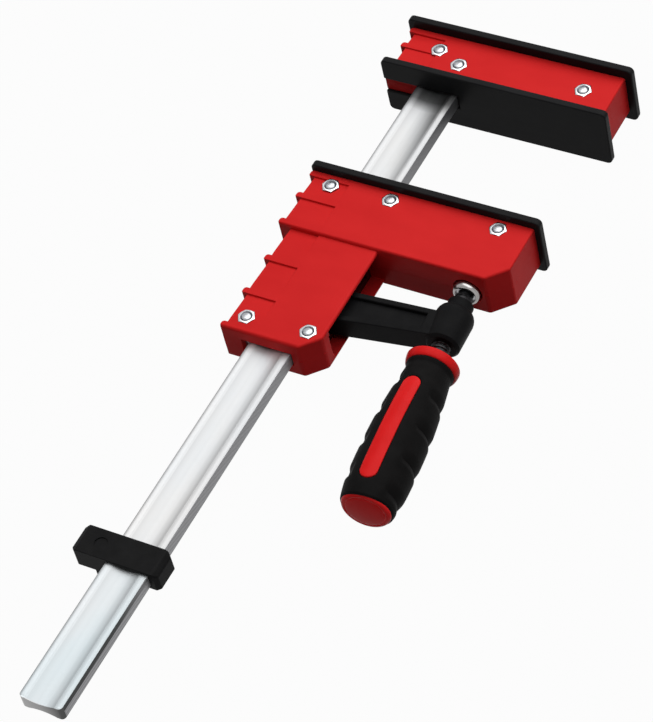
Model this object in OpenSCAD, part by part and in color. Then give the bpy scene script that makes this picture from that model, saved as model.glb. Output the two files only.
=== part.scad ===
// Parallel clamp: a fixed and a sliding deep jaw on a grooved steel rail. A screw
// between the sliding jaw and a slide arm on the rail presses the jaws together.
// The modules work in the clamp's own axes: X along the jaws to their tips, Y along
// the rail to the fixed jaw, Z through the thickness, with zero on the rail's centre
// line at the fixed clamping face. place() moves that to the part's frame, which has
// its zero on the bench under the middle of the part's box.

/* [Rail] */
// Width of the rail
rail_w = 29; // [26:0.5:32]
// Thickness of the rail
rail_t = 9.5; // [8.5:0.1:10]
// Length of the rail
rail_len = 539; // [460:1:900]
// Width of the groove in each broad face
groove_w = 19; // [14:0.5:21]
// Depth of each groove
groove_d = 1.6; // [0.8:0.1:2]
// Corner radius at the free end
rail_corner_r = 3; // [1:0.5:5]
// Distance from the rail's hidden end to the back pad
rail_inset = 0.5; // [0.2:0.1:2]

/* [Pads] */
// Length of a clamping pad along the jaw
pad_len = 159; // [150:1:175]
// Width of a pad
pad_w = 44; // [40:0.5:50]
// Thickness of a pad
pad_t = 4.8; // [4:0.1:6]
// Reach of the pads behind the rail's centre line
pad_heel = 38; // [37:0.5:42]
// Corner radius of a pad
pad_corner_r = 3.5; // [1:0.5:6]
// Height of the slot that lets the rail through a pad
pad_slot_h = 11; // [10.6:0.1:12]
// Length of the tongue that holds a pad between the shells
tongue_len = 56; // [40:1:58]
// Depth of the tongue
tongue_d = 4; // [3:0.1:4.5]

/* [Fixed jaw] */
// Depth of the body between its two pads
fixed_depth = 34.7; // [33:0.1:40]
// Thickness of the body
fixed_t = 30; // [28:0.5:34]
// Reach of the body in front of the rail's centre line
fixed_tip = 116; // [108:0.5:120]
// Reach of the body behind the rail's centre line
fixed_heel = 32; // [31:0.5:35]
// Wall between the core and each pad
fixed_wall = 4.7; // [4.5:0.1:6]
// Thickness of the steel core
fixed_core_t = 16; // [14:0.5:17]

/* [Sliding jaw] */
// Opening between the clamping faces as shown
jaw_gap = 90.8; // [40:0.1:150]
// Depth of the head along the rail
head_depth = 46; // [44:0.5:54]
// Thickness of the head
head_t = 33; // [31:0.5:36]
// Reach of the head in front of the rail's centre line
head_tip = 117; // [112:0.5:122]
// How far the head stands out behind the leg
head_heel_step = 4.7; // [2:0.1:6]
// Corner cut at the head's lower tip
head_cut = 12; // [8:0.5:14]
// Thickness of the leg
leg_t = 28.4; // [27:0.1:30]
// Wall of the leg behind the arm
leg_wall = 2.5; // [2:0.1:4]
// Wall of the leg beside the opening for the arm
opening_wall = 2.2; // [2:0.1:4]
// Solid margin of the leg in front of its bolt
leg_margin = 10.6; // [8:0.1:14]
// Corner cut at the leg's lower end
leg_cut = 11.5; // [8:0.5:12]
// Wall below the lower rail guide
end_wall = 3.7; // [3:0.1:6]
// Height of the lower rail guide
guide_h = 15.4; // [14:0.1:20]
// Thickness of the jaw's core and of the guide
core_t = 17; // [15:0.5:18]
// Depth of the head above the core, where the bolts pass
bolt_zone = 12.3; // [12:0.1:14]
// Cover of the head below the core
core_cover = 5; // [4:0.1:6]

/* [Finger ribs] */
// How far a rib stands out at the heel
rib_out = 3.6; // [2:0.1:4]
// Height of a rib along the rail
rib_h = 4.2; // [3:0.1:6]
// Rounding of a rib's nose
rib_r = 2; // [1:0.1:2.8]
// Depth of the scoop below a rib
scoop_d = 1.3; // [0.5:0.1:2]
// Run of a scoop along the rail
scoop_len = 18; // [10:0.5:22]
// Where the scoops end behind the rail's centre line
scoop_end = 9; // [4:0.5:12]

/* [Bolts] */
// Bolt diameter
bolt_d = 6; // [5:0.5:7]
// Nut width across flats
nut_af = 10; // [9:0.5:11]
// Nut height
nut_h = 5; // [4:0.1:5.5]
// How far a nut stands proud of its pocket
nut_proud = 0.5; // [0:0.1:1]
// Bolt head diameter
bolt_head_d = 11; // [10:0.1:12]
// Bolt head height
bolt_head_h = 3.3; // [2.5:0.1:4]

/* [Screw] */
// Place of the screw's pivot in front of the rail's centre line
pivot_x = 90.5; // [86:0.5:94]
// Height of the pivot above the core's lower face
pivot_rise = 7.6; // [7:0.1:9]
// Lean of the screw and arm when slack, in degrees
tilt = 6; // [5:0.1:7]
// How far the arm rocks upright to grip, in degrees
rock = 2; // [0.5:0.1:2]
// Arm travel towards the head
travel_in = 5; // [3:0.1:6]
// Arm travel towards the handle
travel_out = 7.5; // [5:0.1:8]
// Thread diameter
screw_d = 12; // [10:0.1:13]
// Thread pitch
pitch = 3; // [2:0.5:4]
// Thread depth
thread_d = 1; // [0.5:0.1:1.3]
// Diameter of the pivot pin
pivot_pin_d = 6; // [5:0.1:7]
// Diameter of the swivel cap
cap_d = 18; // [17.6:0.1:20]
// Thickness of the swivel cap
cap_t = 8; // [7.6:0.1:9]
// Height of the dome at the swivel cap's rim
cap_dome_h = 4; // [3:0.1:4.5]
// Width of that dome
cap_dome_w = 2; // [1:0.1:2.2]
// Thickness of the swivel cap's lug
lug_t = 8; // [6:0.1:9]

/* [Slide arm] */
// Thickness of the arm
arm_t = 16; // [15.5:0.1:16.4]
// Height of the arm at the rail
arm_root_h = 23; // [20:0.1:24]
// Height of the arm at the boss
arm_nose_h = 18.6; // [16:0.1:20]
// Wall of the arm behind the rail
arm_heel = 6.3; // [5:0.1:8]
// Flange thickness of the arm's I section
arm_flange = 3.6; // [2.5:0.1:5]
// Depth of the I section's recess on each side
arm_recess = 2.5; // [1:0.1:4]
// Diameter of the threaded boss
boss_d = 24.6; // [22:0.1:26]
// Length of the boss
boss_len = 34.3; // [32:0.1:38]

/* [Handle] */
// Diameter of the collar
collar_d = 34; // [30:0.5:36]
// Thickness of the collar
collar_t = 6; // [5:0.1:10]
// Diameter of the neck
neck_d = 27.6; // [24:0.1:30]
// Diameter of the belly
belly_d = 38.2; // [34:0.1:42]
// Diameter at the end of the grip
tail_d = 32.8; // [30:0.1:36]
// Length of the grip
grip_len = 105; // [100:0.5:130]
// Share of the grip's length at which it is thickest
belly_at = 0.6; // [0.5:0.01:0.7]
// Diameter of the core inside the grip
handle_core_d = 20; // [18:0.5:24]
// Diameter of the shank in the handle
shank_d = 9.4; // [8.4:0.1:9.6]
// Length of the shank in the handle
shank_len = 34; // [25:0.5:50]
// Width of an inlay
inlay_w = 11.6; // [8:0.1:13]
// Length of an inlay
inlay_len = 79; // [60:0.5:84]
// Where the inlays start below the collar
inlay_start = 16.5; // [12:0.5:18]
// Turn of the inlays about the handle, in degrees
inlay_turn = -4; // [-45:1:45]
// Thickness of the end cap's rim
end_rim = 2.4; // [2:0.1:5]
// Dome of the end cap
end_dome = 1; // [0.5:0.1:3]

/* [Rail clip] */
// Length of the clip along the rail
clip_len = 19.5; // [14:0.5:26]
// Distance from the sliding jaw to the clip as shown
clip_gap = 155.7; // [20:0.1:170]
// Reach of the clip's foot behind the rail's centre line
clip_heel = 38; // [30:0.5:42]
// Reach of the clip in front of the rail's centre line
clip_front = 20.3; // [18.5:0.1:26]
// Wall of the clip over the rail
clip_wall = 2.6; // [2:0.1:4]
// Cut along the clip's upper edges at its ends
clip_cut = 3.2; // [1:0.1:3.4]
// Cut of the clip's upright corners
clip_corner = 2.2; // [1:0.1:3.4]
// Reach of the foot under the clip behind the rail's side
foot_out = 9.7; // [6:0.1:12]
// Width of that foot
foot_w = 24; // [14:0.5:27]
// Diameter of the dimple in the clip's foot
dimple_d = 8.6; // [4:0.1:10]

/* [Clearances] */
// Between the rail and what slides on it
slide_gap = 0.25; // [0.2:0.01:0.3]
// Between the arm and the rail or its housing at the ends of its travel
arm_gap = 0.5; // [0.4:0.01:0.8]
// Between a part and the pocket that holds it
fit_gap = 0.15; // [0.1:0.01:0.2]
// Around a bolt in its hole
bolt_gap = 0.25; // [0.2:0.01:0.4]
// Radial running fit of a pin or journal
run_gap = 0.05; // [0.03:0.01:0.09]
// Around the swivel cap's rocking lug
rock_gap = 1.3; // [1:0.1:1.6]
// Around the swivel cap in the head
cap_gap = 0.9; // [0.7:0.1:1.2]

/* [Hidden] */
$fn = 96;

// Overshoot of every cut past the face that it opens
cut = 1;
// Reach of a cut that goes through everything
through = 400;

// Planes of the fixed jaw along the rail
fixed_front = pad_t;
fixed_back = fixed_front + fixed_depth;
back_face = fixed_back + pad_t;
rail_top = fixed_back - rail_inset;
rail_low = rail_top - rail_len;

// Planes of the sliding jaw along the rail
face_y = -jaw_gap;
head_top = face_y - pad_t;
head_low = head_top - head_depth;
jaw_core_top = head_top - bolt_zone;
jaw_core_low = head_low + core_cover;
pivot_y = jaw_core_low + pivot_rise;

// Stations along the screw, measured from the pivot towards the head
lug_drop = 9;
cap_low = -lug_drop - cap_t;
boss_head_room = 2;
boss_top = cap_low - travel_in - boss_head_room;
boss_low = boss_top - boss_len;
arm_lift = 0.1;
arm_mid = boss_low + arm_root_h / 2 + arm_lift;
arm_up = arm_mid + arm_root_h / 2;
arm_down = arm_mid - arm_root_h / 2;
collar_room = 5.9;
collar_top = boss_low - travel_out - collar_room;
collar_low = collar_top - collar_t;
grip_low = collar_low - grip_len;
belly_v = collar_low - belly_at * grip_len;
end_low = grip_low - end_rim;

// Where a rail edge crosses the leaning arm: distance along the arm from the screw
function rail_crossing(x, v, lean) = (x - pivot_x) / cos(lean) + v * tan(lean);
slot_heel = rail_crossing(-rail_w / 2, arm_down - travel_out, tilt) - arm_gap;
slot_front = rail_crossing(rail_w / 2, arm_up + travel_in, tilt - rock) + arm_gap;
arm_end = slot_heel - arm_heel;
arm_root_run = 15;
arm_root = slot_front + arm_root_run;

// The brake spring sits above the arm's heel and reaches almost to the rail
spring_bow = 3.2;
spring_half = 8;
spring_t = 0.6;
spring_w = 8;
spring_seat = -rail_w / 2 - slide_gap - spring_bow;

// Furthest reach of the arm's heel inside the leg
function arm_x(u, v, lean) = pivot_x + u * cos(lean) - v * sin(lean);
function arm_y(u, v, lean) = pivot_y + u * sin(lean) + v * cos(lean);
function arm_u(x, v, lean) = (x - pivot_x + v * sin(lean)) / cos(lean);
room_left = arm_x(arm_end, arm_up + travel_in, tilt - rock) - arm_gap;
room_low = arm_y(arm_end, arm_down - travel_out, tilt) - arm_gap;
room_up = arm_gap + max([for (a = [tilt, tilt - rock])
    arm_y(arm_u(spring_seat, arm_up + travel_in, a), arm_up + travel_in, a)]);
room_half = arm_t / 2 + arm_gap;

// Outline of the sliding jaw
leg_left = room_left - leg_wall;
head_left = leg_left - head_heel_step;
bolt_left_off = 5.8;
bolt_right_off = 7.1;
bolt_left = -rail_w / 2 - bolt_left_off;
bolt_right = rail_w / 2 + bolt_right_off;
leg_right = bolt_right + leg_margin;
leg_end = room_low - guide_h - end_wall;
leg_len = head_low - leg_end;

// Bolt places as [x, y]
tip_bolt_inset = 21;
rail_bolt_off = 9;
rail_bolt_step = 4.2;
fixed_bolt_y = (fixed_front + fixed_back) / 2;
fixed_bolts = [
    [-rail_bolt_off, fixed_bolt_y + rail_bolt_step],
    [rail_bolt_off, fixed_bolt_y - rail_bolt_step],
    [fixed_tip - tip_bolt_inset, fixed_bolt_y]
];
head_bolt_drop = 7;
left_bolt_drop = 8;
head_bolts = [
    [bolt_left, head_top - left_bolt_drop],
    [bolt_right, head_top - head_bolt_drop],
    [head_tip - tip_bolt_inset, head_top - head_bolt_drop]
];
leg_bolt_y = leg_end + end_wall + guide_h / 2;
right_bolt_rise = 2;
leg_bolts = [
    [bolt_left, leg_bolt_y],
    [bolt_right, leg_bolt_y + right_bolt_rise]
];

// Fasteners
nut_corner_d = nut_af / cos(30);
nut_sink = nut_h - nut_proud;
bolt_head_proud = 0.3;
head_sink = bolt_head_h - bolt_head_proud;
bolt_tail = 0.4;
socket_af = 4;
socket_d = 2;

// Handle profile as [radius, station], with a lip against the collar
collar_round = 1.8;
grip_lip_r = collar_d / 2 - collar_round;
grip_steps = 16;
function swell(t) = neck_d / 2 + (belly_d - neck_d) / 2 * sin(90 * t);
function taper(t) = belly_d / 2 - (belly_d - tail_d) / 2 * pow(t, 4);
grip_profile = concat(
    [[grip_lip_r, collar_low]],
    [for (i = [1:grip_steps])
        [swell(i / grip_steps), collar_low + (belly_v - collar_low) * i / grip_steps]],
    [for (i = [1:grip_steps])
        [taper(i / grip_steps), belly_v + (grip_low - belly_v) * i / grip_steps]]
);

// The part's box, for its zero point
handle_reach = max([for (p = grip_profile) pivot_x - p[1] * sin(tilt) + p[0] * cos(tilt)]);
box_left = -max(pad_heel, clip_heel);
box_right = max(pad_len - pad_heel, handle_reach);
x_mid = (box_left + box_right) / 2;
y_mid = (rail_low + back_face) / 2;

// Clip planes
clip_top = leg_end - clip_gap;
clip_half = rail_t / 2 + clip_wall;
heel_drop = 1.8;
foot_x = -rail_w / 2 - foot_out;
foot_low = -pad_w / 2;
dimple_out = 7.8;
dimple_depth = 0.6;

// Colours
red = [0.79, 0.12, 0.13];
black = [0.09, 0.09, 0.1];
zinc = [0.82, 0.84, 0.86];
steel = [0.55, 0.56, 0.58];
cast = [0.3, 0.3, 0.32];
bronze = [0.72, 0.55, 0.3];

module place() {
    translate([-x_mid, -y_mid, pad_w / 2]) children();
}

// Axes of the leaning screw: X along the arm, Y along the screw to the head
module lean() {
    translate([pivot_x, pivot_y, 0]) rotate([0, 0, tilt]) children();
}

// A profile of [radius, station] turned about the screw
module turned() {
    lean() rotate([-90, 0, 0]) rotate_extrude() children();
}

// A cylinder along the screw between two stations
module rod(d, v_low, v_high) {
    lean() translate([0, v_low, 0]) rotate([-90, 0, 0]) cylinder(d = d, h = v_high - v_low);
}

// A block between two corners
module block(low, high) {
    translate(low) cube(high - low);
}

// A block with the corner at its front end and low side cut off
module cut_block(low, high, corner) {
    translate([0, 0, low[2]]) linear_extrude(high[2] - low[2]) polygon([
        [low[0], high[1]], [high[0], high[1]], [high[0], low[1] + corner],
        [high[0] - corner, low[1]], [low[0], low[1]]
    ]);
}

module rounded_rect(x_low, x_high, h, r) {
    translate([x_low + r, -h / 2]) square([x_high - x_low - 2 * r, h]);
    translate([x_low, -h / 2 + r]) square([x_high - x_low, h - 2 * r]);
    for (x = [x_low + r, x_high - r], z = [-h / 2 + r, h / 2 - r])
        translate([x, z]) circle(r = r);
}

// A shape in the X-Z plane carried down the rail from a plane
module along_rail(y_top, length) {
    translate([0, y_top, 0]) rotate([90, 0, 0]) linear_extrude(length) children();
}

// Section of the rail, or of the space that it needs
module rail_section(gap = 0) {
    groove_r = (groove_w * groove_w / 4 + groove_d * groove_d) / (2 * groove_d);
    difference() {
        square([rail_w + 2 * gap, rail_t + 2 * gap], center = true);
        for (s = [-1, 1])
            translate([0, s * (rail_t / 2 - groove_d + groove_r)]) circle(r = groove_r - gap);
    }
}

// A plain window for the rail
module rail_window(y_low, y_high, gap) {
    block([-rail_w / 2 - gap, y_low, -rail_t / 2 - gap], [rail_w / 2 + gap, y_high, rail_t / 2 + gap]);
}

module holes(places, d) {
    for (p = places)
        translate([p[0], p[1], -through / 2]) cylinder(d = d, h = through);
}

// Rail

module rail() {
    color(zinc) place() difference() {
        along_rail(rail_top, rail_len) rail_section();
        holes([fixed_bolts[0], fixed_bolts[1]], bolt_d + 2 * bolt_gap);
        for (s = [0, 1]) mirror([s, 0, 0])
            translate([rail_w / 2 - rail_corner_r, rail_low + rail_corner_r, 0]) difference() {
                block([0, -rail_corner_r - cut, -rail_t], [rail_corner_r + cut, 0, rail_t]);
                translate([0, 0, -2 * rail_t]) cylinder(r = rail_corner_r, h = 4 * rail_t);
            }
    }
}

// Pads, with the clamping face at zero and the jaw towards +Y

pad_slot_play = 1;
tongue_x = 30;
tongue_neck = 5;
tongue_head = 9;

module tongue(gap) {
    mid_y = pad_t + tongue_d / 2;
    block([tongue_x - gap, pad_t - cut, -tongue_neck / 2 - gap],
        [tongue_x + tongue_len + gap, mid_y + gap, tongue_neck / 2 + gap]);
    block([tongue_x - gap, mid_y - gap, -tongue_head / 2 - gap],
        [tongue_x + tongue_len + gap, pad_t + tongue_d + gap, tongue_head / 2 + gap]);
}

module pad() {
    slot_front_x = rail_w / 2 + pad_slot_play;
    difference() {
        along_rail(pad_t, pad_t) rounded_rect(-pad_heel, pad_len - pad_heel, pad_w, pad_corner_r);
        block([-pad_heel - cut, -cut, -pad_slot_h / 2], [slot_front_x, pad_t + cut, pad_slot_h / 2]);
    }
    tongue(0);
}

// Puts a pad, or what fits it, on the plane of an outward face that looks along +Y
module facing_up(y) {
    translate([0, y, 0]) mirror([0, 1, 0]) children();
}

module fixed_front_pad() {
    color(black) place() pad();
}

module fixed_back_pad() {
    color(black) place() facing_up(back_face) pad();
}

module sliding_jaw_pad() {
    color(black) place() facing_up(face_y) pad();
}

// Finger ribs at the heel and the scoops below them

module rib_nose(edge, y) {
    translate([edge - rib_out, y]) {
        translate([rib_r, 0]) square([rib_out - rib_r + cut, rib_h]);
        square([rib_r, rib_h - rib_r]);
        translate([rib_r, rib_h - rib_r]) circle(r = rib_r);
    }
}

module scoop(edge, y, z) {
    translate([edge - rib_out - cut, y, z]) rotate([90, 0, 90])
        linear_extrude(-scoop_end - edge + rib_out + cut)
            polygon([[0, cut], [0, -scoop_d], [-scoop_len, 0], [-scoop_len, cut]]);
}

// Seats for the bolts: a nut pocket on one shell, a head pocket on the other

module nut_seat(t) {
    translate([0, 0, t / 2 - nut_sink])
        cylinder(d = nut_corner_d + 4 * fit_gap, h = nut_sink + cut, $fn = 6);
}

module head_seat(t) {
    translate([0, 0, t / 2 - head_sink]) cylinder(d = bolt_head_d + 4 * fit_gap, h = head_sink + cut);
}

module seats(places, t, nuts) {
    for (p = places) translate(p) {
        if (nuts) nut_seat(t);
        else head_seat(t);
    }
}

// Bolts and nuts of a jaw of thickness t

module bolts(places, t) {
    for (p = places) translate(p) {
        under_head = -t / 2 + head_sink;
        translate([0, 0, under_head]) cylinder(d = bolt_d, h = t / 2 + nut_proud + bolt_tail - under_head);
        translate([0, 0, under_head - bolt_head_h]) difference() {
            cylinder(d = bolt_head_d, h = bolt_head_h);
            translate([0, 0, -cut]) cylinder(d = socket_af / cos(30), h = socket_d + cut, $fn = 6);
        }
    }
}

module nuts(places, t) {
    for (p = places) translate([p[0], p[1], t / 2 - nut_sink]) difference() {
        cylinder(d = nut_corner_d, h = nut_h, $fn = 6);
        translate([0, 0, -cut]) cylinder(d = bolt_d + 2 * run_gap, h = nut_h + 2 * cut);
    }
}

// Fixed jaw

fixed_core_low = fixed_front + fixed_wall;
fixed_core_high = fixed_back - fixed_wall;
fixed_core_end = 5;
web_sink = 2;
web_root = 1;

module fixed_core_box(gap) {
    block([-fixed_heel + fixed_core_end - gap, fixed_core_low - gap, -fixed_core_t / 2 - gap],
        [fixed_tip - fixed_core_end + gap, fixed_core_high + gap, fixed_core_t / 2 + gap]);
}

module fixed_outline() {
    translate([-fixed_heel, fixed_front]) square([fixed_heel + fixed_tip, fixed_depth]);
    rib_nose(-fixed_heel, fixed_back - rib_h);
    rib_nose(-fixed_heel, fixed_back - fixed_depth / 2);
}

// Web that fills the front pad's slot between the pad's end and the rail
module slot_web() {
    rail_side = -rail_w / 2 - slide_gap;
    linear_extrude(pad_slot_h / 2 - fit_gap) polygon([
        [-pad_heel, web_sink], [rail_side, web_sink], [rail_side, fixed_front + web_root],
        [-fixed_heel, fixed_front + web_root], [-fixed_heel, fixed_front], [-pad_heel, fixed_front]
    ]);
}

module fixed_half(with_nuts) {
    difference() {
        union() {
            linear_extrude(fixed_t / 2) fixed_outline();
            slot_web();
        }
        fixed_core_box(fit_gap);
        rail_window(fixed_front - cut, fixed_back + cut, slide_gap);
        tongue(fit_gap);
        facing_up(back_face) tongue(fit_gap);
        scoop(-fixed_heel, fixed_back - rib_h, fixed_t / 2);
        scoop(-fixed_heel, fixed_back - fixed_depth / 2, fixed_t / 2);
        holes(fixed_bolts, bolt_d + 2 * bolt_gap);
        seats(fixed_bolts, fixed_t, with_nuts);
    }
}

module fixed_jaw_upper_shell() {
    color(red) place() fixed_half(true);
}

module fixed_jaw_lower_shell() {
    color(red) place() mirror([0, 0, 1]) fixed_half(false);
}

module fixed_jaw_core() {
    color(cast) place() difference() {
        fixed_core_box(0);
        rail_window(fixed_core_low - cut, fixed_core_high + cut, fit_gap);
        holes(fixed_bolts, bolt_d + 2 * bolt_gap);
    }
}

module fixed_jaw_bolts() {
    color(zinc) place() bolts(fixed_bolts, fixed_t);
}

module fixed_jaw_nuts() {
    color(zinc) place() nuts(fixed_bolts, fixed_t);
}

// Sliding jaw

jaw_core_end = 6;
lug_half = 6.5;
spring_mid = (head_low - core_cover + room_up) / 2;

module jaw_core_box(gap) {
    cut_block([head_left + jaw_core_end - gap, jaw_core_low - gap, -core_t / 2 - gap],
        [head_tip - jaw_core_end + gap, jaw_core_top + gap, core_t / 2 + gap], head_cut - core_cover);
}

module guide_box(gap) {
    cut_block([room_left, leg_end + end_wall - gap, -core_t / 2 - gap],
        [bolt_right + bolt_d, room_low, core_t / 2 + gap], leg_cut - end_wall);
}

module head_outline() {
    polygon([
        [head_left, head_top], [head_tip, head_top], [head_tip, head_low + head_cut],
        [head_tip - head_cut, head_low], [head_left, head_low]
    ]);
    rib_nose(head_left, head_top - rib_h);
    rib_nose(head_left, head_top - head_depth / 2);
    rib_nose(head_left, head_low);
}

module leg_outline() {
    polygon([
        [leg_left, head_low + cut], [leg_right, head_low + cut], [leg_right, leg_end + leg_cut],
        [leg_right - leg_cut, leg_end], [leg_left, leg_end]
    ]);
    for (i = [1:3]) rib_nose(leg_left, head_low - i * leg_len / 3);
}

// Space inside the leg: the arm's room and its wide opening, the brake spring's seat and the guide
opening_depth = 9;

module leg_room() {
    opening_half = leg_t / 2 - opening_wall;
    block([room_left, room_low - cut, -room_half], [leg_right + cut, room_up, room_half]);
    block([leg_right - opening_depth, room_low, -opening_half], [leg_right + cut, head_low, opening_half]);
    block([spring_seat - fit_gap - spring_t, room_up - cut, -room_half],
        [leg_right + cut, head_low - core_cover, room_half]);
    guide_box(fit_gap);
}

// The rail's mouth in the leg's end wall is wider behind the rail than in front of it
mouth_heel = 5.5;
mouth_front = 0.8;

module rail_mouth() {
    block([-rail_w / 2 - mouth_heel, leg_end - cut, -rail_t / 2 - mouth_front],
        [rail_w / 2 + mouth_front, leg_end + end_wall, rail_t / 2 + mouth_front]);
}

// Space for the swivel cap, open at the head's lower face
module cap_room() {
    rod(cap_d + 2 * cap_gap, cap_low - cap_t, -pivot_rise + rock_gap);
}

module sliding_half(with_nuts) {
    difference() {
        union() {
            linear_extrude(head_t / 2) head_outline();
            linear_extrude(leg_t / 2) leg_outline();
        }
        jaw_core_box(fit_gap);
        leg_room();
        cap_room();
        rail_mouth();
        rail_window(leg_end - cut, head_top + cut, slide_gap);
        facing_up(face_y) tongue(fit_gap);
        scoop(head_left, head_top - rib_h, head_t / 2);
        scoop(head_left, head_top - head_depth / 2, head_t / 2);
        for (i = [0:2]) scoop(leg_left, head_low - i * leg_len / 3, leg_t / 2);
        holes(concat(head_bolts, leg_bolts), bolt_d + 2 * bolt_gap);
        seats(head_bolts, head_t, with_nuts);
        seats(leg_bolts, leg_t, with_nuts);
    }
}

module sliding_jaw_upper_shell() {
    color(red) place() sliding_half(true);
}

module sliding_jaw_lower_shell() {
    color(red) place() mirror([0, 0, 1]) sliding_half(false);
}

module sliding_jaw_core() {
    color(cast) place() difference() {
        jaw_core_box(0);
        rail_window(jaw_core_low - cut, jaw_core_top + cut, slide_gap);
        block([pivot_x - lug_half - rock_gap, jaw_core_low - cut, -lug_t / 2 - slide_gap],
            [pivot_x + lug_half + rock_gap, pivot_y + lug_half + slide_gap, lug_t / 2 + slide_gap]);
        holes([[pivot_x, pivot_y]], pivot_pin_d + 2 * run_gap);
    }
}

module lower_rail_guide() {
    color(steel) place() difference() {
        guide_box(0);
        rail_window(leg_end, room_low + cut, slide_gap);
        holes(leg_bolts, bolt_d + 2 * bolt_gap);
    }
}

module sliding_jaw_bolts() {
    color(zinc) place() {
        bolts(head_bolts, head_t);
        bolts(leg_bolts, leg_t);
    }
}

module sliding_jaw_nuts() {
    color(zinc) place() {
        nuts(head_bolts, head_t);
        nuts(leg_bolts, leg_t);
    }
}

// A bowed strip that rubs on the rail's edge and keeps the jaw where it is put
module brake_spring() {
    bow_r = (spring_half * spring_half + spring_bow * spring_bow) / (2 * spring_bow);
    color(steel) place() translate([spring_seat + spring_bow - bow_r, spring_mid, 0]) intersection() {
        difference() {
            translate([0, 0, -spring_w / 2]) cylinder(r = bow_r, h = spring_w);
            translate([0, 0, -spring_w]) cylinder(r = bow_r - spring_t, h = 2 * spring_w);
        }
        block([bow_r - spring_bow - spring_t, -spring_half, -spring_w], [bow_r, spring_half, spring_w]);
    }
}

module swivel_pin() {
    color(steel) place() translate([pivot_x, pivot_y, -core_t / 2]) cylinder(d = pivot_pin_d, h = core_t);
}

// Swivel: rocks on the pin and takes the screw's end

journal_d = 13;
journal_up = -10.5;
washer_t = 1.5;
washer_hole = 5;
thrust_t = 2.3;
ring_t = 1;
ring_groove_d = 14.8;
screw_neck_d = 9;
ring_play = 0.5;
thrust_top = journal_up - washer_t - run_gap;
ring_top = thrust_top - thrust_t - run_gap;
rim_cut = 1.2;
dome_steps = 6;
cap_dome = [for (i = [0:dome_steps])
    let (a = 90 * i / dome_steps)
    [cap_d / 2 - cap_dome_w * (1 - cos(a)), cap_low + cap_dome_h * (1 - sin(a))]];

module swivel_cap() {
    color(zinc) place() difference() {
        union() {
            lean() translate([0, 0, -lug_t / 2]) cylinder(r = lug_half, h = lug_t);
            lean() block([-lug_half, -lug_drop - cut, -lug_t / 2], [lug_half, 0, lug_t / 2]);
            turned() polygon(concat([
                [0, -lug_drop], [cap_d / 2 - rim_cut, -lug_drop], [cap_d / 2, -lug_drop - rim_cut]
            ], cap_dome, [[0, cap_low]]));
        }
        holes([[pivot_x, pivot_y]], pivot_pin_d + 2 * run_gap);
        rod(journal_d + 4 * run_gap, cap_low - cut, journal_up);
        rod(ring_groove_d + 2 * run_gap, ring_top - ring_t - run_gap, ring_top + run_gap);
    }
}

module thrust_washer() {
    color(bronze) place() turned() translate([washer_hole / 2, journal_up - washer_t])
        square([(journal_d - washer_hole) / 2, washer_t]);
}

module retaining_ring() {
    ring_open = 30;
    inner_r = screw_neck_d / 2 + ring_play;
    color(steel) place() lean() translate([0, ring_top - ring_t, 0]) rotate([-90, 0, 0])
        rotate_extrude(angle = 360 - ring_open) translate([inner_r, 0])
            square([ring_groove_d / 2 - inner_r, ring_t]);
}

// Screw

thread_end_gap = 0.5;
thread_low = collar_top + thread_end_gap;
thread_high = cap_low - thread_end_gap;
thread_sides = 20;
thread_slices = 6;
thread_rings = round((thread_high - thread_low) / pitch * thread_slices);

crest_half = 0.2;
flank_share = 1 / 6;

// Height of a trapezoid thread at a number of turns from its start
function tooth(turns) = max(0, min(1, 1 + (crest_half - abs(turns - floor(turns) - 1 / 2)) / flank_share));
function run_out(v) = max(0, min(1, (v - thread_low) / pitch, (thread_high - v) / pitch));
function thread_r(v, a) = screw_d / 2 - thread_d + thread_d * run_out(v) * tooth(v / pitch - a / 360);

module thread() {
    points = [for (i = [0:thread_rings], j = [0:thread_sides - 1])
        let (v = thread_low + (thread_high - thread_low) * i / thread_rings, a = 360 * j / thread_sides)
        [thread_r(v, a) * cos(a), thread_r(v, a) * sin(a), v]];
    sides = [for (i = [0:thread_rings - 1], j = [0:thread_sides - 1], half = [0, 1])
        let (a = i * thread_sides + j, b = i * thread_sides + (j + 1) % thread_sides)
        half == 0 ? [a, a + thread_sides, b] : [b, a + thread_sides, b + thread_sides]];
    low = [for (j = [0:thread_sides - 1]) j];
    high = [for (j = [thread_sides - 1:-1:0]) thread_rings * thread_sides + j];
    polyhedron(points, concat([low], sides, [high]));
}

module spindle() {
    color(black) place() {
        rod(journal_d, thrust_top - thrust_t, thrust_top);
        rod(screw_neck_d, thread_high - cut, thrust_top - thrust_t);
        lean() rotate([-90, 0, 0]) thread();
        difference() {
            rod(shank_d, collar_top - shank_len, thread_low + cut);
            handle_pin_hole();
        }
    }
}

// Handle

handle_pin_d = 4;
handle_pin_drop = 6;
handle_pin_sunk = 0.5;
spigot_d = 14;
spigot_len = 11;
inlay_sunk = 0.2;
rim_round = 1.6;
end_step = 0.8;
handle_pin_v = collar_low - handle_pin_drop;

module handle_pin_hole() {
    lean() translate([0, handle_pin_v, -through / 2]) cylinder(d = handle_pin_d + 2 * run_gap, h = through);
}

// The two inlays as bars that stand out of the core
module inlay_bars(gap) {
    lean() rotate([0, inlay_turn, 0]) translate([0, 0, -belly_d])
        linear_extrude(2 * belly_d) {
            high = collar_low - inlay_start - inlay_w / 2;
            low = collar_low - inlay_start - inlay_len + inlay_w / 2;
            translate([-inlay_w / 2 - gap, low]) square([inlay_w + 2 * gap, high - low]);
            for (v = [low, high]) translate([0, v]) circle(d = inlay_w + 2 * gap);
        }
}

module grip_body(inset, core) {
    turned() polygon(concat(
        [[core, collar_low]], [for (p = grip_profile) [p[0] - inset, p[1]]], [[core, grip_low]]
    ));
}

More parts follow.
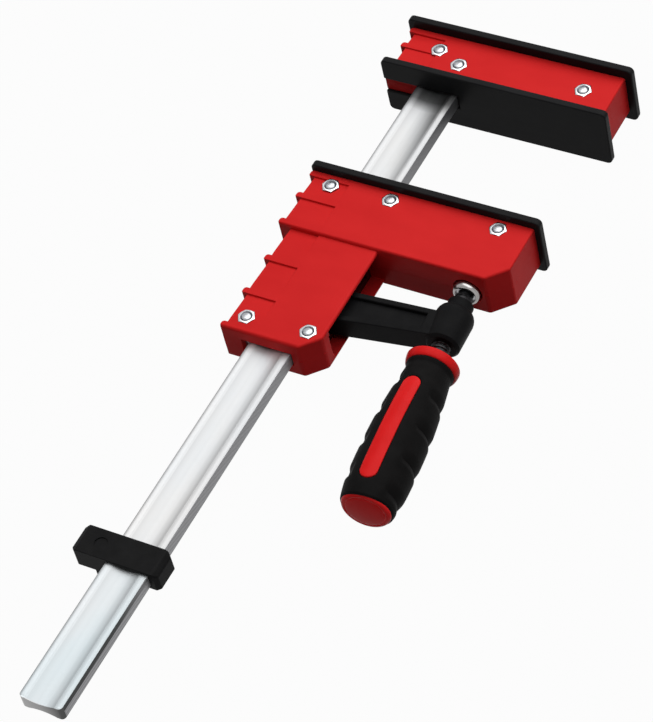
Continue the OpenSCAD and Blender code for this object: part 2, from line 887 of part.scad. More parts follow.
// The collar's rim curves in from its upper edge to the grip's lip
collar_steps = 8;
collar_rim = [for (i = [0:collar_steps])
    let (a = 90 * i / collar_steps)
    [grip_lip_r + collar_round * cos(a), collar_top - collar_t * sin(a)]];

module handle_core() {
    color(red) place() difference() {
        union() {
            turned() polygon(concat([[0, collar_top]], collar_rim, [[0, collar_low]]));
            rod(handle_core_d, grip_low, collar_low + cut);
            intersection() {
                inlay_bars(0);
                grip_body(inlay_sunk, 0);
            }
        }
        rod(shank_d + 2 * run_gap, collar_top - shank_len - cut, collar_top + cut);
        rod(spigot_d + 2 * run_gap, grip_low - cut, grip_low + spigot_len + cut);
        handle_pin_hole();
    }
}

module handle_grip() {
    color(black) place() difference() {
        grip_body(0, handle_core_d / 2 + run_gap);
        inlay_bars(fit_gap);
    }
}

module handle_end_cap() {
    r = tail_d / 2 - end_step;
    face_r = r - rim_round;
    dome = [for (i = [0:dome_steps])
        let (t = 1 - i / dome_steps)
        [t * face_r, end_low - end_dome * (1 - t * t)]];
    color(red) place() turned() polygon(concat([
        [0, grip_low + spigot_len], [spigot_d / 2, grip_low + spigot_len], [spigot_d / 2, grip_low],
        [r, grip_low], [r, end_low + rim_round]
    ], dome));
}

module handle_pin() {
    length = handle_core_d - 2 * handle_pin_sunk;
    color(steel) place() lean() translate([0, handle_pin_v, -length / 2])
        cylinder(d = handle_pin_d, h = length);
}

// Slide arm: a cast I beam with a slot for the rail and a threaded boss

boss_ring_d = 16.4;
boss_ring_h = 6;
boss_shoulder_h = 6.4;
boss_taper = 1.2;
boss_round = 1.8;
boss_steps = 6;
boss_shoulder = [for (i = [0:boss_steps])
    let (a = 90 * i / boss_steps)
    [boss_ring_d / 2 + (boss_d - boss_ring_d) / 2 * sin(a),
        boss_top - boss_ring_h - boss_shoulder_h * (1 - cos(a))]];

module arm_outline() {
    polygon([
        [arm_end, arm_up], [arm_root, arm_up], [0, arm_mid + arm_nose_h / 2],
        [0, arm_mid - arm_nose_h / 2], [arm_root, arm_down], [arm_end, arm_down]
    ]);
}

recess_inset = 2;
recess_run = 6;

module arm_recess_outline() {
    near = -boss_d / 2 - recess_inset;
    far = arm_root - recess_run;
    root = arm_root_h / 2 - arm_flange;
    nose = arm_nose_h / 2 - arm_flange;
    polygon([
        [far, arm_mid + root], [near, arm_mid + nose], [near, arm_mid - nose], [far, arm_mid - root]
    ]);
}

module slide_arm() {
    foot_r = boss_d / 2 - boss_taper;
    color(black) place() difference() {
        union() {
            lean() translate([0, 0, -arm_t / 2]) linear_extrude(arm_t) arm_outline();
            turned() polygon(concat([[0, boss_top], [boss_ring_d / 2, boss_top]], boss_shoulder, [
                [foot_r, boss_low + boss_round], [foot_r - boss_round, boss_low], [0, boss_low]
            ]));
        }
        rod(screw_d + 4 * run_gap, boss_low - cut, boss_top + cut);
        lean() block([slot_heel, arm_down - cut, -rail_t / 2 - arm_gap],
            [slot_front, arm_up + cut, rail_t / 2 + arm_gap]);
        for (s = [0, 1]) mirror([0, 0, s]) lean() translate([0, 0, arm_t / 2 - arm_recess])
            linear_extrude(arm_recess + cut) arm_recess_outline();
    }
}

// Rail clip: a sliding foot that stands the rail level with the jaws' heels and with the pads' edges

module clip_section() {
    polygon([
        [-clip_heel, clip_half - heel_drop], [-clip_heel + clip_cut, clip_half],
        [clip_front - clip_cut, clip_half], [clip_front, clip_half - clip_cut], [clip_front, -clip_half],
        [foot_x + foot_w, -clip_half], [foot_x + foot_w, foot_low], [foot_x, foot_low], [foot_x, -clip_half],
        [-clip_heel, -clip_half]
    ]);
}

module clip_plan() {
    low = clip_top - clip_len;
    polygon([
        [-clip_heel, low + clip_corner], [-clip_heel + clip_corner, low],
        [clip_front - clip_corner, low], [clip_front, low + clip_corner],
        [clip_front, clip_top - clip_corner], [clip_front - clip_corner, clip_top],
        [-clip_heel + clip_corner, clip_top], [-clip_heel, clip_top - clip_corner]
    ]);
}

module rail_clip() {
    color(black) place() difference() {
        intersection() {
            along_rail(clip_top, clip_len) clip_section();
            translate([0, 0, foot_low - cut]) linear_extrude(clip_half - foot_low + 2 * cut) clip_plan();
        }
        along_rail(clip_top + cut, clip_len + 2 * cut) rail_section(slide_gap);
        translate([-rail_w / 2 - dimple_out, clip_top - clip_len / 2, clip_half - dimple_depth])
            cylinder(d = dimple_d, h = cut + dimple_depth);
    }
}

rail();
fixed_jaw_upper_shell();
fixed_jaw_lower_shell();
fixed_jaw_core();
fixed_front_pad();
fixed_back_pad();
fixed_jaw_bolts();
fixed_jaw_nuts();
sliding_jaw_upper_shell();
sliding_jaw_lower_shell();
sliding_jaw_core();
lower_rail_guide();
sliding_jaw_pad();
sliding_jaw_bolts();
sliding_jaw_nuts();
brake_spring();
swivel_pin();
swivel_cap();
thrust_washer();
retaining_ring();
spindle();
handle_core();
handle_grip();
handle_end_cap();
handle_pin();
slide_arm();
rail_clip();
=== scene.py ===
# %% [markdown]
# # A parallel clamp
# The clamp lies flat on a bench: a fixed jaw and a sliding jaw on a steel rail, a screw
# that leans a little, a thick handle and a clip on the rail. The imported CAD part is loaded
# first, as a frame. Every piece made below is in metres and in that same frame, so nothing
# has to be fitted by eye.

# %% Load the frame
import math

import bmesh
import bpy
import numpy as np
from mathutils import Matrix, Vector


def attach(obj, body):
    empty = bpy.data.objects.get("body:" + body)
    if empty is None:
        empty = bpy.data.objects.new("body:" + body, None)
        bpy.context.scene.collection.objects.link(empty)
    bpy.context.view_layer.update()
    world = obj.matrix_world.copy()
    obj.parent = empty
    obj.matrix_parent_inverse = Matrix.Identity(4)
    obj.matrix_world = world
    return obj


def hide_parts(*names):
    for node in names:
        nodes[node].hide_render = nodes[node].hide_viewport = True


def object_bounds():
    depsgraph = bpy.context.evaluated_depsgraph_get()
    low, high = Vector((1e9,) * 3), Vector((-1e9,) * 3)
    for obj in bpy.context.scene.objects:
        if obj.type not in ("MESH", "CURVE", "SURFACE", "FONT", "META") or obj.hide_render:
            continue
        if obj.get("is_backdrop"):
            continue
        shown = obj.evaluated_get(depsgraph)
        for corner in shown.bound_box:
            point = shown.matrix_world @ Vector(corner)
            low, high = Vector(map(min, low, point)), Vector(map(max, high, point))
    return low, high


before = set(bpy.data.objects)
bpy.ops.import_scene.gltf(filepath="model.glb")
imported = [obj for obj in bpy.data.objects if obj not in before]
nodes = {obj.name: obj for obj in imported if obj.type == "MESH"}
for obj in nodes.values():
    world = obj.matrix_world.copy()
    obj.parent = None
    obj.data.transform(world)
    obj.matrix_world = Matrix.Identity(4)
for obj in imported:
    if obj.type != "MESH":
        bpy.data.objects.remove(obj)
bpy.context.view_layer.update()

MM = 0.001

# %% [markdown]
# ## Two sets of axes
# The drawing measures the clamp from the rail's centre line at the fixed clamping face, in
# millimetres, and the screw and handle from the pivot that they lean about. Two small
# functions turn such sizes into places in the frame, so the numbers below read like a
# drawing's.

# %% Places on the clamp and along the leaning screw
RAIL_TO_FRAME = Vector((-44.3228, 227.85, 22.0))
PIVOT = Vector((90.5, -129.0, 0.0))
LEAN = math.radians(6)
ALONG_ARM = Vector((math.cos(LEAN), math.sin(LEAN), 0))
ALONG_SCREW = Vector((-math.sin(LEAN), math.cos(LEAN), 0))
UP = Vector((0, 0, 1))


def on_clamp(x, y, z):
    return (Vector((x, y, z)) + RAIL_TO_FRAME) * MM


def round_screw(radius, station, turn):
    """A point at a radius and a station of the screw, turned from the top towards the jaw tips."""
    out = ALONG_ARM * (radius * math.sin(turn)) + UP * (radius * math.cos(turn))
    return (PIVOT + RAIL_TO_FRAME + ALONG_SCREW * station + out) * MM


print("pivot at", [round(v, 5) for v in on_clamp(*PIVOT)])

# %% [markdown]
# ## The camera
# The camera was worked out from straight edges of the jaws and the rail in the photograph.
# A pinhole camera is a place, three directions and a focal length, so those are written
# down here and put into Blender as one matrix.

# %% Camera
CAMERA_AT = Vector((0.790976, -0.961815, 1.449876))
CAMERA_RIGHT = Vector((0.870028, 0.461148, -0.174340))
CAMERA_DOWN = Vector((0.257245, -0.726311, -0.637415))
CAMERA_AHEAD = Vector((-0.420567, 0.509720, -0.750539))
PICTURE_HEIGHT = 722
FOCAL_PIXELS = 3169.4


def linked(name, data):
    """A new object in the scene."""
    made = bpy.data.objects.new(name, data)
    bpy.context.scene.collection.objects.link(made)
    return made


lens = bpy.data.cameras.new("camera")
lens.sensor_fit = "VERTICAL"
lens.sensor_height = 36
lens.lens = FOCAL_PIXELS * lens.sensor_height / PICTURE_HEIGHT
lens.clip_end = 50
camera = linked("camera", lens)
camera.matrix_world = Matrix.Translation(CAMERA_AT) @ Matrix(
    (CAMERA_RIGHT, -CAMERA_DOWN, -CAMERA_AHEAD)).transposed().to_4x4()
bpy.context.scene.camera = camera
bpy.context.scene.view_settings.view_transform = "Standard"
print("lens", round(lens.lens, 1), "mm")

# %% [markdown]
# ## Nodes written as sums
# Materials and Geometry Nodes are both trees of nodes. A small class wraps a socket and
# knows the plain operators, so `1 - mask * 0.5` adds the Math nodes by itself. Every other
# node comes from one method: its type, its settings, then what goes into its sockets.


# %% A socket that can be calculated with
class Value:
    def __init__(self, socket):
        self.socket = socket

    def math(self, operation, *terms):
        tree = self.socket.id_data
        node = tree.nodes.new("ShaderNodeMath")
        node.operation = operation
        for slot, term in zip(node.inputs, terms):
            join(slot, term)
        return Value(node.outputs[0])

    def __add__(self, other):
        return self.math("ADD", self, other)

    def __radd__(self, other):
        return self.math("ADD", other, self)

    def __sub__(self, other):
        return self.math("SUBTRACT", self, other)

    def __rsub__(self, other):
        return self.math("SUBTRACT", other, self)

    def __mul__(self, other):
        return self.math("MULTIPLY", self, other)

    def __rmul__(self, other):
        return self.math("MULTIPLY", other, self)

    def __truediv__(self, other):
        return self.math("DIVIDE", self, other)

    def above(self, limit):
        return self.math("GREATER_THAN", self, limit)

    def most(self, other):
        return self.math("MAXIMUM", self, other)

    def least(self, other):
        return self.math("MINIMUM", self, other)

    def size(self):
        return self.math("ABSOLUTE", self)

    def kept(self):
        """Kept between 0 and 1."""
        return self.most(0.0).least(1.0)


def join(slot, value):
    if isinstance(value, Value):
        slot.id_data.links.new(value.socket, slot)
    else:
        slot.default_value = value


class Graph:
    """A node tree, and the one method that adds a node to it."""

    def __init__(self, tree):
        self.tree = tree

    def node(self, kind, settings=None, sockets=None, output=0):
        node = self.tree.nodes.new(kind)
        for key, value in (settings or {}).items():
            if key == "stops":
                ramp = node.color_ramp.elements
                while len(ramp) < len(value):
                    ramp.new(1.0)
                for element, (place, colour) in zip(ramp, value):
                    element.position = place
                    element.color = colour
            else:
                setattr(node, key, value)
        for key, value in (sockets or {}).items():
            join(node.inputs[key], value)
        return Value(node.outputs[output])


# %% [markdown]
# ## Finishes
# All finishes share a beginning: a Principled shader with its constant numbers, the
# object's own coordinates in metres, and a way to ask for noise of a given grain size.
# Colour, roughness and bump may vary over a surface; everything else is one number.

# %% A finish
NOISE_ROUGHNESS = 0.55
DARK_AT, LIGHT_AT = 0.3, 0.7
MIX_FACTOR, MIX_FIRST, MIX_SECOND, MIX_RESULT = 0, 6, 7, 2


class Finish(Graph):
    def __init__(self, name, **constants):
        self.material = bpy.data.materials.new(name)
        self.material.use_nodes = True
        super().__init__(self.material.node_tree)
        self.shader = self.tree.nodes["Principled BSDF"]
        for key, value in constants.items():
            self.shader.inputs[key.replace("_", " ")].default_value = value
        self.place = self.node("ShaderNodeTexCoord", output="Object")

    def noise(self, grain_mm, stretch=(1, 1, 1), detail=3.0):
        """Noise from 0 to 1 with grains of that size, made longer along an axis by stretch."""
        scale = tuple(1 / (grain_mm * MM * s) for s in stretch)
        place = self.node("ShaderNodeMapping", sockets={"Vector": self.place, "Scale": scale})
        return self.node("ShaderNodeTexNoise", sockets={
            "Vector": place, "Scale": 1.0, "Detail": detail, "Roughness": NOISE_ROUGHNESS})

    def ramp(self, share, *stops):
        """A colour that follows stops of place and colour as share grows."""
        opaque = [(place, (*colour, 1)) for place, colour in stops]
        return self.node("ShaderNodeValToRGB", {"stops": opaque}, {"Fac": share})

    def between(self, share, dark, light):
        """A colour that goes from dark to light over the middle of a noise."""
        return self.ramp(share, (DARK_AT, dark), (LIGHT_AT, light))

    def mixed(self, share, first, second, blend="MIX"):
        return self.node("ShaderNodeMix", {"data_type": "RGBA", "blend_type": blend},
                         {MIX_FACTOR: share, MIX_FIRST: first, MIX_SECOND: second},
                         output=MIX_RESULT)

    def times(self, first, second):
        return self.mixed(1.0, first, second, "MULTIPLY")

    def axis(self, letter):
        return self.node("ShaderNodeSeparateXYZ", sockets={0: self.place}, output=letter)

    def within(self, low, high):
        """1 inside the box between two corners on the clamp, 0 outside it."""
        inside = 1.0
        for letter, a, b in zip("XYZ", on_clamp(*low), on_clamp(*high)):
            outside = (self.axis(letter) - (a + b) / 2).size().above((b - a) / 2)
            inside = inside * (1 - outside)
        return inside

    def feed(self, colour, roughness, height, depth_mm):
        """Joins what varies to the shader, height as a bump of that depth."""
        bump = self.node("ShaderNodeBump", sockets={
            "Strength": 1.0, "Distance": depth_mm * MM, "Height": height})
        for key, value in (("Base Color", colour), ("Roughness", roughness), ("Normal", bump)):
            join(self.shader.inputs[key], value)
        return self.material


# %% [markdown]
# ### Red shells
# The jaws' shells are moulded nylon: an even, strong red with a satin face. The mould's
# spark texture is a fine bump, and the plastic's flow shows as a very slight change of tone.
# The red inside the hollow that the arm works in is darkened as painted shade, and the
# ledge that shows beside the arm less so.

# %% Red shell finish
HOLLOW_NEAR, HOLLOW_FAR = (-27.2, -207.5), (31.9, -141.7)
LEDGE_LOW, LEDGE_HIGH, HOLLOW_HIGH = -12.1, -11.9, 12.1
LEDGE_SHADE = 0.45

red = Finish("red_shell", IOR=1.45, Specular_IOR_Level=0.06)
flow = red.noise(26, stretch=(2, 1, 1))
spark = red.noise(0.45, detail=2.0)
# Painted shade: the red in the hollow is darkened, and on the ledge beside the arm less so.
hollow = red.within((*HOLLOW_NEAR, LEDGE_HIGH), (*HOLLOW_FAR, HOLLOW_HIGH))
ledge = red.within((*HOLLOW_NEAR, LEDGE_LOW), (*HOLLOW_FAR, LEDGE_HIGH))
plain_red = red.between(flow, (0.575, 0.0140, 0.0145), (0.640, 0.0185, 0.0185))
painted_shade_red = red.between(flow, (0.035, 0.0030, 0.0035), (0.060, 0.0040, 0.0045))
red_shell = red.feed(
    colour=red.mixed(hollow + LEDGE_SHADE * ledge, plain_red, painted_shade_red),
    roughness=0.40 + 0.10 * spark, height=spark, depth_mm=0.02)
print("made", red_shell.name)

# %% [markdown]
# ### Black pads
# The pads are a hard, smooth black plastic that glue doesn't stick to. Their faces are
# almost even, with faint wiping marks along their length that only show in the gloss.

# %% Black pad finish
pad = Finish("black_pad", IOR=1.45, Specular_IOR_Level=0.06)
wiped = pad.noise(3, stretch=(14, 1, 1))
cloud = pad.noise(18)
black_pad = pad.feed(
    colour=pad.between(cloud, (0.0060, 0.0060, 0.0064), (0.0095, 0.0095, 0.0100)),
    roughness=0.36 + 0.16 * wiped, height=wiped, depth_mm=0.01)
print("made", black_pad.name)

# %% [markdown]
# ### Zinc on the rail
# The rail is drawn steel with a bright zinc coat. Drawing leaves fine lines along the
# length and the coat is a little bluish, most at the free end. Across the broad faces the grey
# goes up and down in bands as painted reflection, the flanges lighter than the groove's edges.
# The narrow sides are milled with fine teeth for the arm to hold, which makes them greyer and
# duller than the broad faces. Towards the free end their upper halves are darker. Near the
# fixed jaw the sides and the half of the groove towards the jaw's tip get a painted reflection
# of the jaw, and right by the pad the groove gets the pad's painted shadow. The sawn end, with
# its round corners, is grey and dull, and darker towards one side.

# %% Rail finish
RAIL_W = 29.0
RAIL_LOW, RAIL_CORNER = -500.0, 3.0
RAIL_SIDE_MM = 14.15
TOOTH_MM = 1.1
DARK_SIDE_FROM, DARK_SIDE_RUN, DARK_SIDE_HEIGHT = -385.0, -50.0, 1.3
COOL_FROM, COOL_RUN = -385.0, -20.0
JAW_REFLECTION_FROM, JAW_REFLECTION_RUN = -95.0, 75.0
PAD_SHADOW_FROM, PAD_SHADOW_RUN = -17.0, 9.0
# Painted reflection: lighter and darker bands across the rail's width.
REFLECTION_BANDS = ((0.01, 0.24), (0.07, 0.49), (0.13, 0.45), (0.20, 0.275), (0.42, 0.36),
          (0.62, 0.55), (0.74, 0.51), (0.85, 0.35), (0.92, 0.40), (0.985, 0.32))
JAW_REFLECTION = ((0.38, 1.0), (0.57, 0.70), (0.80, 0.48), (0.855, 0.50), (0.885, 1.0))
PAD_SHADOW = ((0.12, 0.42), (0.22, 0.25), (0.80, 0.27), (0.92, 0.40))
SAWN_SKIN = 0.35
SAWN = ((0.05, 0.36), (0.50, 0.27), (0.95, 0.07))
WHITE = (1, 1, 1, 1)
DARK_SIDE, SIDE_JAW_REFLECTION = (0.045, 0.047, 0.047, 1), (0.45, 0.45, 0.45, 1)

zinc = Finish("rail_zinc", Metallic=1.0)
drawn = zinc.noise(0.5, stretch=(1, 120, 1))
coat = zinc.noise(40, stretch=(1, 3, 1))
across = (zinc.axis("X") - RAIL_TO_FRAME.x * MM) / (RAIL_W * MM) + 0.5
side = ((across - 0.5).size() * RAIL_W).above(RAIL_SIDE_MM)


def past(station, run):
    """0 at a station along the rail, 1 a run further on, or further back if it is negative."""
    return ((zinc.axis("Y") - on_clamp(0, station, 0).y) / (run * MM)).kept()


def tones(stops):
    """Greys over the rail's width, from pairs of place and tone."""
    return zinc.ramp(across, *((place, (tone,) * 3) for place, tone in stops))


# Painted reflection of the fixed jaw: the sides and the groove's half towards the jaw tip darken
# near it.
jaw_reflection_share = past(JAW_REFLECTION_FROM, JAW_REFLECTION_RUN)
warm = zinc.between(coat, (0.94, 0.97, 1.0), (1.0, 0.99, 0.98))
cool = zinc.between(coat, (0.86, 0.96, 1.0), (0.95, 0.98, 1.0))
tint = zinc.mixed(past(COOL_FROM, COOL_RUN), warm, cool)
painted_jaw_reflection = zinc.mixed(jaw_reflection_share, WHITE, tones(JAW_REFLECTION))
# Painted shadow of the pad: the groove darkens within a few millimetres of it.
painted_pad_shadow = zinc.mixed(past(PAD_SHADOW_FROM, PAD_SHADOW_RUN), WHITE, tones(PAD_SHADOW))
broad = zinc.times(zinc.times(tones(REFLECTION_BANDS), tint), zinc.times(painted_jaw_reflection, painted_pad_shadow))

along = zinc.axis("Y") / (TOOTH_MM * MM)
tooth = (along.math("FRACT", along) - 0.5).size() * 2
milled_and_jaw_reflection = zinc.times(zinc.between(tooth, (0.16, 0.16, 0.165), (0.34, 0.34, 0.35)),
                    zinc.mixed(jaw_reflection_share, WHITE, SIDE_JAW_REFLECTION))
# The sides' upper halves are darker towards the free end.
dark_upper_side = past(DARK_SIDE_FROM, DARK_SIDE_RUN) * zinc.axis("Z").above(on_clamp(0, 0, DARK_SIDE_HEIGHT).z)
to_side = ((across - 0.5).size() * RAIL_W - (RAIL_W / 2 - RAIL_CORNER)).most(0.0)
to_end = ((on_clamp(0, RAIL_LOW + RAIL_CORNER, 0).y - zinc.axis("Y")) / MM).most(0.0)
round_end = (to_side * to_side + to_end * to_end).above((RAIL_CORNER - SAWN_SKIN) ** 2)
sawn = round_end * to_end.above(SAWN_SKIN)
unsawn_faces = zinc.mixed(side, broad, zinc.mixed(dark_upper_side, milled_and_jaw_reflection, DARK_SIDE))
rail_zinc = zinc.feed(
    colour=zinc.mixed(sawn, unsawn_faces, tones(SAWN)),
    roughness=0.40 + 0.10 * drawn + 0.08 * side,
    height=drawn * 0.12 * (1 - side) + tooth * side, depth_mm=0.05)
print("made", rail_zinc.name)

# %% [markdown]
# ### Nuts, bolts and the swivel cap
# The fasteners have the same kind of zinc coat, brighter and with a cloudy surface from
# tumbling. The nuts' countersinks and bores and the bolts' sockets and ends are darkened as
# painted shade; an attribute of the mesh, written further down, says where that is. The cap
# that takes the screw's end is nickel plated, warmer and smoother.

# %% Fastener and cap finishes
bright = Finish("fastener_zinc", Metallic=1.0)
tumbled = bright.noise(1.2)
# Painted shade: the attribute marks countersinks, bores, sockets and bolt ends, darkened here.
sunk = bright.node("ShaderNodeAttribute", {"attribute_name": "sunk"}, output="Fac")
shiny = bright.between(tumbled, (0.40, 0.41, 0.43), (0.60, 0.61, 0.62))
recess_shade_colour = bright.between(tumbled, (0.10, 0.11, 0.13), (0.22, 0.23, 0.25))
fastener_zinc = bright.feed(
    colour=bright.mixed(sunk, shiny, recess_shade_colour),
    roughness=0.18 + 0.14 * tumbled + 0.2 * sunk, height=tumbled, depth_mm=0.02)

plated = Finish("cap_nickel", Metallic=1.0)
turned = plated.noise(0.6, stretch=(8, 1, 8))
cap_nickel = plated.feed(
    colour=plated.between(turned, (0.24, 0.23, 0.225), (0.38, 0.365, 0.36)),
    roughness=0.14 + 0.14 * turned, height=turned, depth_mm=0.01)
print("made", fastener_zinc.name, cap_nickel.name)

# %% [markdown]
# ### The black metals
# The screw is blackened and oiled steel: dark, but with a metal's shine on its flanks. The
# arm is a casting under satin black paint, which softens the cast grain without hiding it.

# %% Screw and arm finishes
oiled = Finish("screw_black", Metallic=0.85)
film = oiled.noise(2.0, stretch=(1, 2, 1))
screw_black = oiled.feed(
    colour=oiled.between(film, (0.012, 0.012, 0.013), (0.030, 0.030, 0.032)),
    roughness=0.26 + 0.20 * film, height=film, depth_mm=0.02)

paint = Finish("arm_black", IOR=1.45, Specular_IOR_Level=0.035)
sand = paint.noise(0.9, detail=4.0)
skin = paint.noise(12)
arm_black = paint.feed(
    colour=paint.between(skin, (0.0045, 0.0045, 0.0048), (0.0080, 0.0080, 0.0084)),
    roughness=0.38 + 0.14 * sand, height=sand, depth_mm=0.06)
print("made", screw_black.name, arm_black.name)

# %% [markdown]
# ### The handle and the clip
# The handle's collar and inlays are one glossy red. The end cap gets a lighter copy of that
# red as painted light, because its face turns away from the lamps. The grip over them is a
# softer black that scatters light, with a leathery grain. The rail clip is a hard black moulding.

# %% Handle and clip finishes
def glossy_red(name, dark, light):
    gloss = Finish(name, IOR=1.46, Specular_IOR_Level=0.06)
    tone = gloss.noise(14)
    peel = gloss.noise(1.6, detail=2.0)
    return gloss.feed(
        colour=gloss.between(tone, dark, light),
        roughness=0.26 + 0.08 * peel, height=peel, depth_mm=0.01)


handle_red = glossy_red("handle_red", (0.66, 0.0115, 0.0120), (0.73, 0.0155, 0.0160))
# Painted light: a lighter copy of the red for the end cap, whose face turns away from the lamps.
painted_light_red = glossy_red("handle_end_red", (0.88, 0.0200, 0.0210), (0.96, 0.0260, 0.0270))

soft = Finish("grip_black", IOR=1.45, Specular_IOR_Level=0.035)
leather = soft.noise(0.7, detail=3.0)
rubbed = soft.noise(9)
grip_black = soft.feed(
    colour=soft.between(rubbed, (0.0040, 0.0038, 0.0038), (0.0068, 0.0064, 0.0064)),
    roughness=0.52 + 0.14 * leather, height=leather, depth_mm=0.05)

hard = Finish("clip_black", IOR=1.45, Specular_IOR_Level=0.045)
grain = hard.noise(0.6, detail=2.0)
handled = hard.noise(8)
clip_black = hard.feed(
    colour=hard.between(handled, (0.0060, 0.0060, 0.0062), (0.0098, 0.0098, 0.0101)),
    roughness=0.42 + 0.12 * grain, height=grain, depth_mm=0.04)
print("made", handle_red.name, painted_light_red.name, grip_black.name, clip_black.name)

# %% [markdown]
# ### What is hidden inside
# The cores, guide, pins and washer are covered by the shells, but a model can be opened, so
# they get honest finishes too: rough cast iron, plain steel and bronze.

# %% Inner finishes
iron = Finish("cast_core", Metallic=0.6)
crust = iron.noise(1.5, detail=5.0)
cast_core = iron.feed(
    colour=iron.between(crust, (0.035, 0.034, 0.033), (0.085, 0.082, 0.080)),
    roughness=0.55 + 0.25 * crust, height=crust, depth_mm=0.15)

bare = Finish("plain_steel", Metallic=1.0)
ground = bare.noise(0.4, stretch=(1, 30, 1))
plain_steel = bare.feed(
    colour=bare.between(ground, (0.30, 0.30, 0.31), (0.46, 0.46, 0.47)),
    roughness=0.24 + 0.16 * ground, height=ground, depth_mm=0.01)

bearing = Finish("washer_bronze", Metallic=1.0)
mottle = bearing.noise(1.0)
washer_bronze = bearing.feed(
    colour=bearing.between(mottle, (0.36, 0.21, 0.08), (0.55, 0.35, 0.15)),
    roughness=0.28 + 0.14 * mottle, height=mottle, depth_mm=0.01)
print("made", cast_core.name, plain_steel.name, washer_bronze.name)

# %% [markdown]
# ## Pieces
# A finished piece is an object at the origin whose mesh holds its place. One function makes
# it from a mesh, smooths its curved faces and keeps edges sharper than a given angle. It then
# puts the piece on the body that it rides on, gives it its finish and hides the CAD node that
# it stands for.

# %% Making a piece
SHARP = math.radians(32)
MERGE = 1e-7


def finished(name, mesh, material, body, node):
    """Links a mesh as a piece with its finish and its body, in place of a CAD node."""
    piece = linked(name, mesh)
    if not mesh.materials:
        mesh.materials.append(material)
    if not mesh.has_custom_normals:
        mesh.shade_smooth()
        mesh.set_sharp_from_angle(angle=SHARP)
    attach(piece, body)
    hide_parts(node)
    print(name, len(mesh.polygons), "faces on", body)


def to_mesh(bm, name):
    mesh = bpy.data.meshes.new(name)
    bm.to_mesh(mesh)
    bm.free()
    return mesh


def closed_rings(rings, name, caps=True):
    """A mesh through rings of equally many points, with caps on the first and the last."""
    count = len(rings[0])
    points = [p for ring in rings for p in ring]
    faces = [(i * count + j, i * count + (j + 1) % count,
              (i + 1) * count + (j + 1) % count, (i + 1) * count + j)
             for i in range(len(rings) - 1) for j in range(count)]
    last = (len(rings) - 1) * count
    if caps:
        faces += [tuple(range(count))[::-1], tuple(range(last, last + count))]
    mesh = bpy.data.meshes.new(name)
    mesh.from_pydata(points, [], faces)
    bm = bmesh.new()
    bm.from_mesh(mesh)
    bmesh.ops.remove_doubles(bm, verts=bm.verts, dist=MERGE)
    bmesh.ops.dissolve_degenerate(bm, edges=bm.edges, dist=MERGE)
    bmesh.ops.recalc_face_normals(bm, faces=bm.faces)
    bm.to_mesh(mesh)
    bm.free()
    return mesh


# %% [markdown]
# ## Rounded edges
# A moulding has no knife edges. A copy of a CAD node is merged into one surface, each edge
# sharper than the limit gets a weight, and a Bevel modifier rounds it by that weight. A rule
# per piece gives the radius from where the edge lies, so the shells' parting line stays
# tight while their outer edges are soft. The modifier's own limit is off, because it would
# shrink all radii to suit the shortest edge. An edge with no radius is marked sharp, and
# weighted normals keep the large faces flat. Where many small faces meet, a corner's normal
# can still stray far from its face, and then the face's own normal is put back.

# %% Rounding a copy of a CAD node
CAD_MERGE = 2e-6
FLAT = math.radians(0.4)
EDGE_LIMIT = math.radians(28)
STRAY = math.cos(math.radians(40))


def merged(node):
    """A copy of a CAD node with its loose triangles joined."""
    bm = bmesh.new()
    bm.from_mesh(nodes[node].data)
    bmesh.ops.remove_doubles(bm, verts=bm.verts, dist=CAD_MERGE)
    return bm


def rounded_copy(node, rule, largest_mm, segments=3, crease=EDGE_LIMIT):
    """The node's mesh with rounded edges. rule gives an edge's radius, up to the largest one."""
    bm = merged(node)
    bmesh.ops.dissolve_limit(bm, angle_limit=FLAT, verts=bm.verts, edges=bm.edges)
    weight = bm.edges.layers.float.new("bevel_weight_edge")
    for edge in bm.edges:
        turn = edge.calc_face_angle(0)
        if turn > EDGE_LIMIT:
            ends = [(v.co / MM - RAIL_TO_FRAME) for v in edge.verts]
            edge[weight] = rule(*ends, edge.is_convex) / largest_mm
        edge.smooth = edge[weight] > 0 or turn < crease
    for face in bm.faces:
        face.smooth = True
    mesh = to_mesh(bm, node + "_rounded")
    mesh.materials.clear()
    piece = linked("rounding", mesh)
    bevel = piece.modifiers.new("edges", "BEVEL")
    bevel.limit_method = "WEIGHT"
    bevel.width = largest_mm * MM
    bevel.segments = segments
    bevel.use_clamp_overlap = False
    bevel.loop_slide = False
    bevel.miter_outer = "MITER_ARC"
    flatten = piece.modifiers.new("flat faces", "WEIGHTED_NORMAL")
    flatten.keep_sharp = True
    result = bpy.data.meshes.new_from_object(
        piece.evaluated_get(bpy.context.evaluated_depsgraph_get()))
    bpy.data.objects.remove(piece)
    normals = [corner.vector.copy() for corner in result.corner_normals]
    for face in result.polygons:
        for corner in face.loop_indices:
            if normals[corner].dot(face.normal) < STRAY:
                normals[corner] = face.normal.copy()
    result.normals_split_custom_set(normals)
    return result


# %% [markdown]
# ### The jaws' shells
# Each jaw is two shells, one above and one below the rail's middle plane. Their outer edges
# are soft, and the foot of the sliding jaw's leg softest. The parting line between the
# halves, the seats under the pads, the finger ribs and the nut pockets stay tight, and so does
# the inner corner where the opening for the arm meets the head.

# %% Shells
JAWS = (("fixed_jaw", "rail"), ("sliding_jaw", "sliding_jaw"))
FOOT = -226.409
PAD_SEATS = (-95.6, 4.8, 39.5)
INNER_CORNER = Vector((32.2, -141.6))
RIB_TIPS, RIB_ROOTS, JAW_TIPS = -30.0, -8.5, 110.0
BROAD_FACES = 13.5
SHORT, UPRIGHT = 8.0, 10.0
NEAR, BESIDE = 0.02, 0.1
FOOT_R, OUTER_R, TIP_R = 2.4, 1.7, 1.2
RIB_R, HEEL_R, INNER_R, PARTING_R = 0.5, 0.3, 0.25, 0.06
SHELL_SEGMENTS = 4


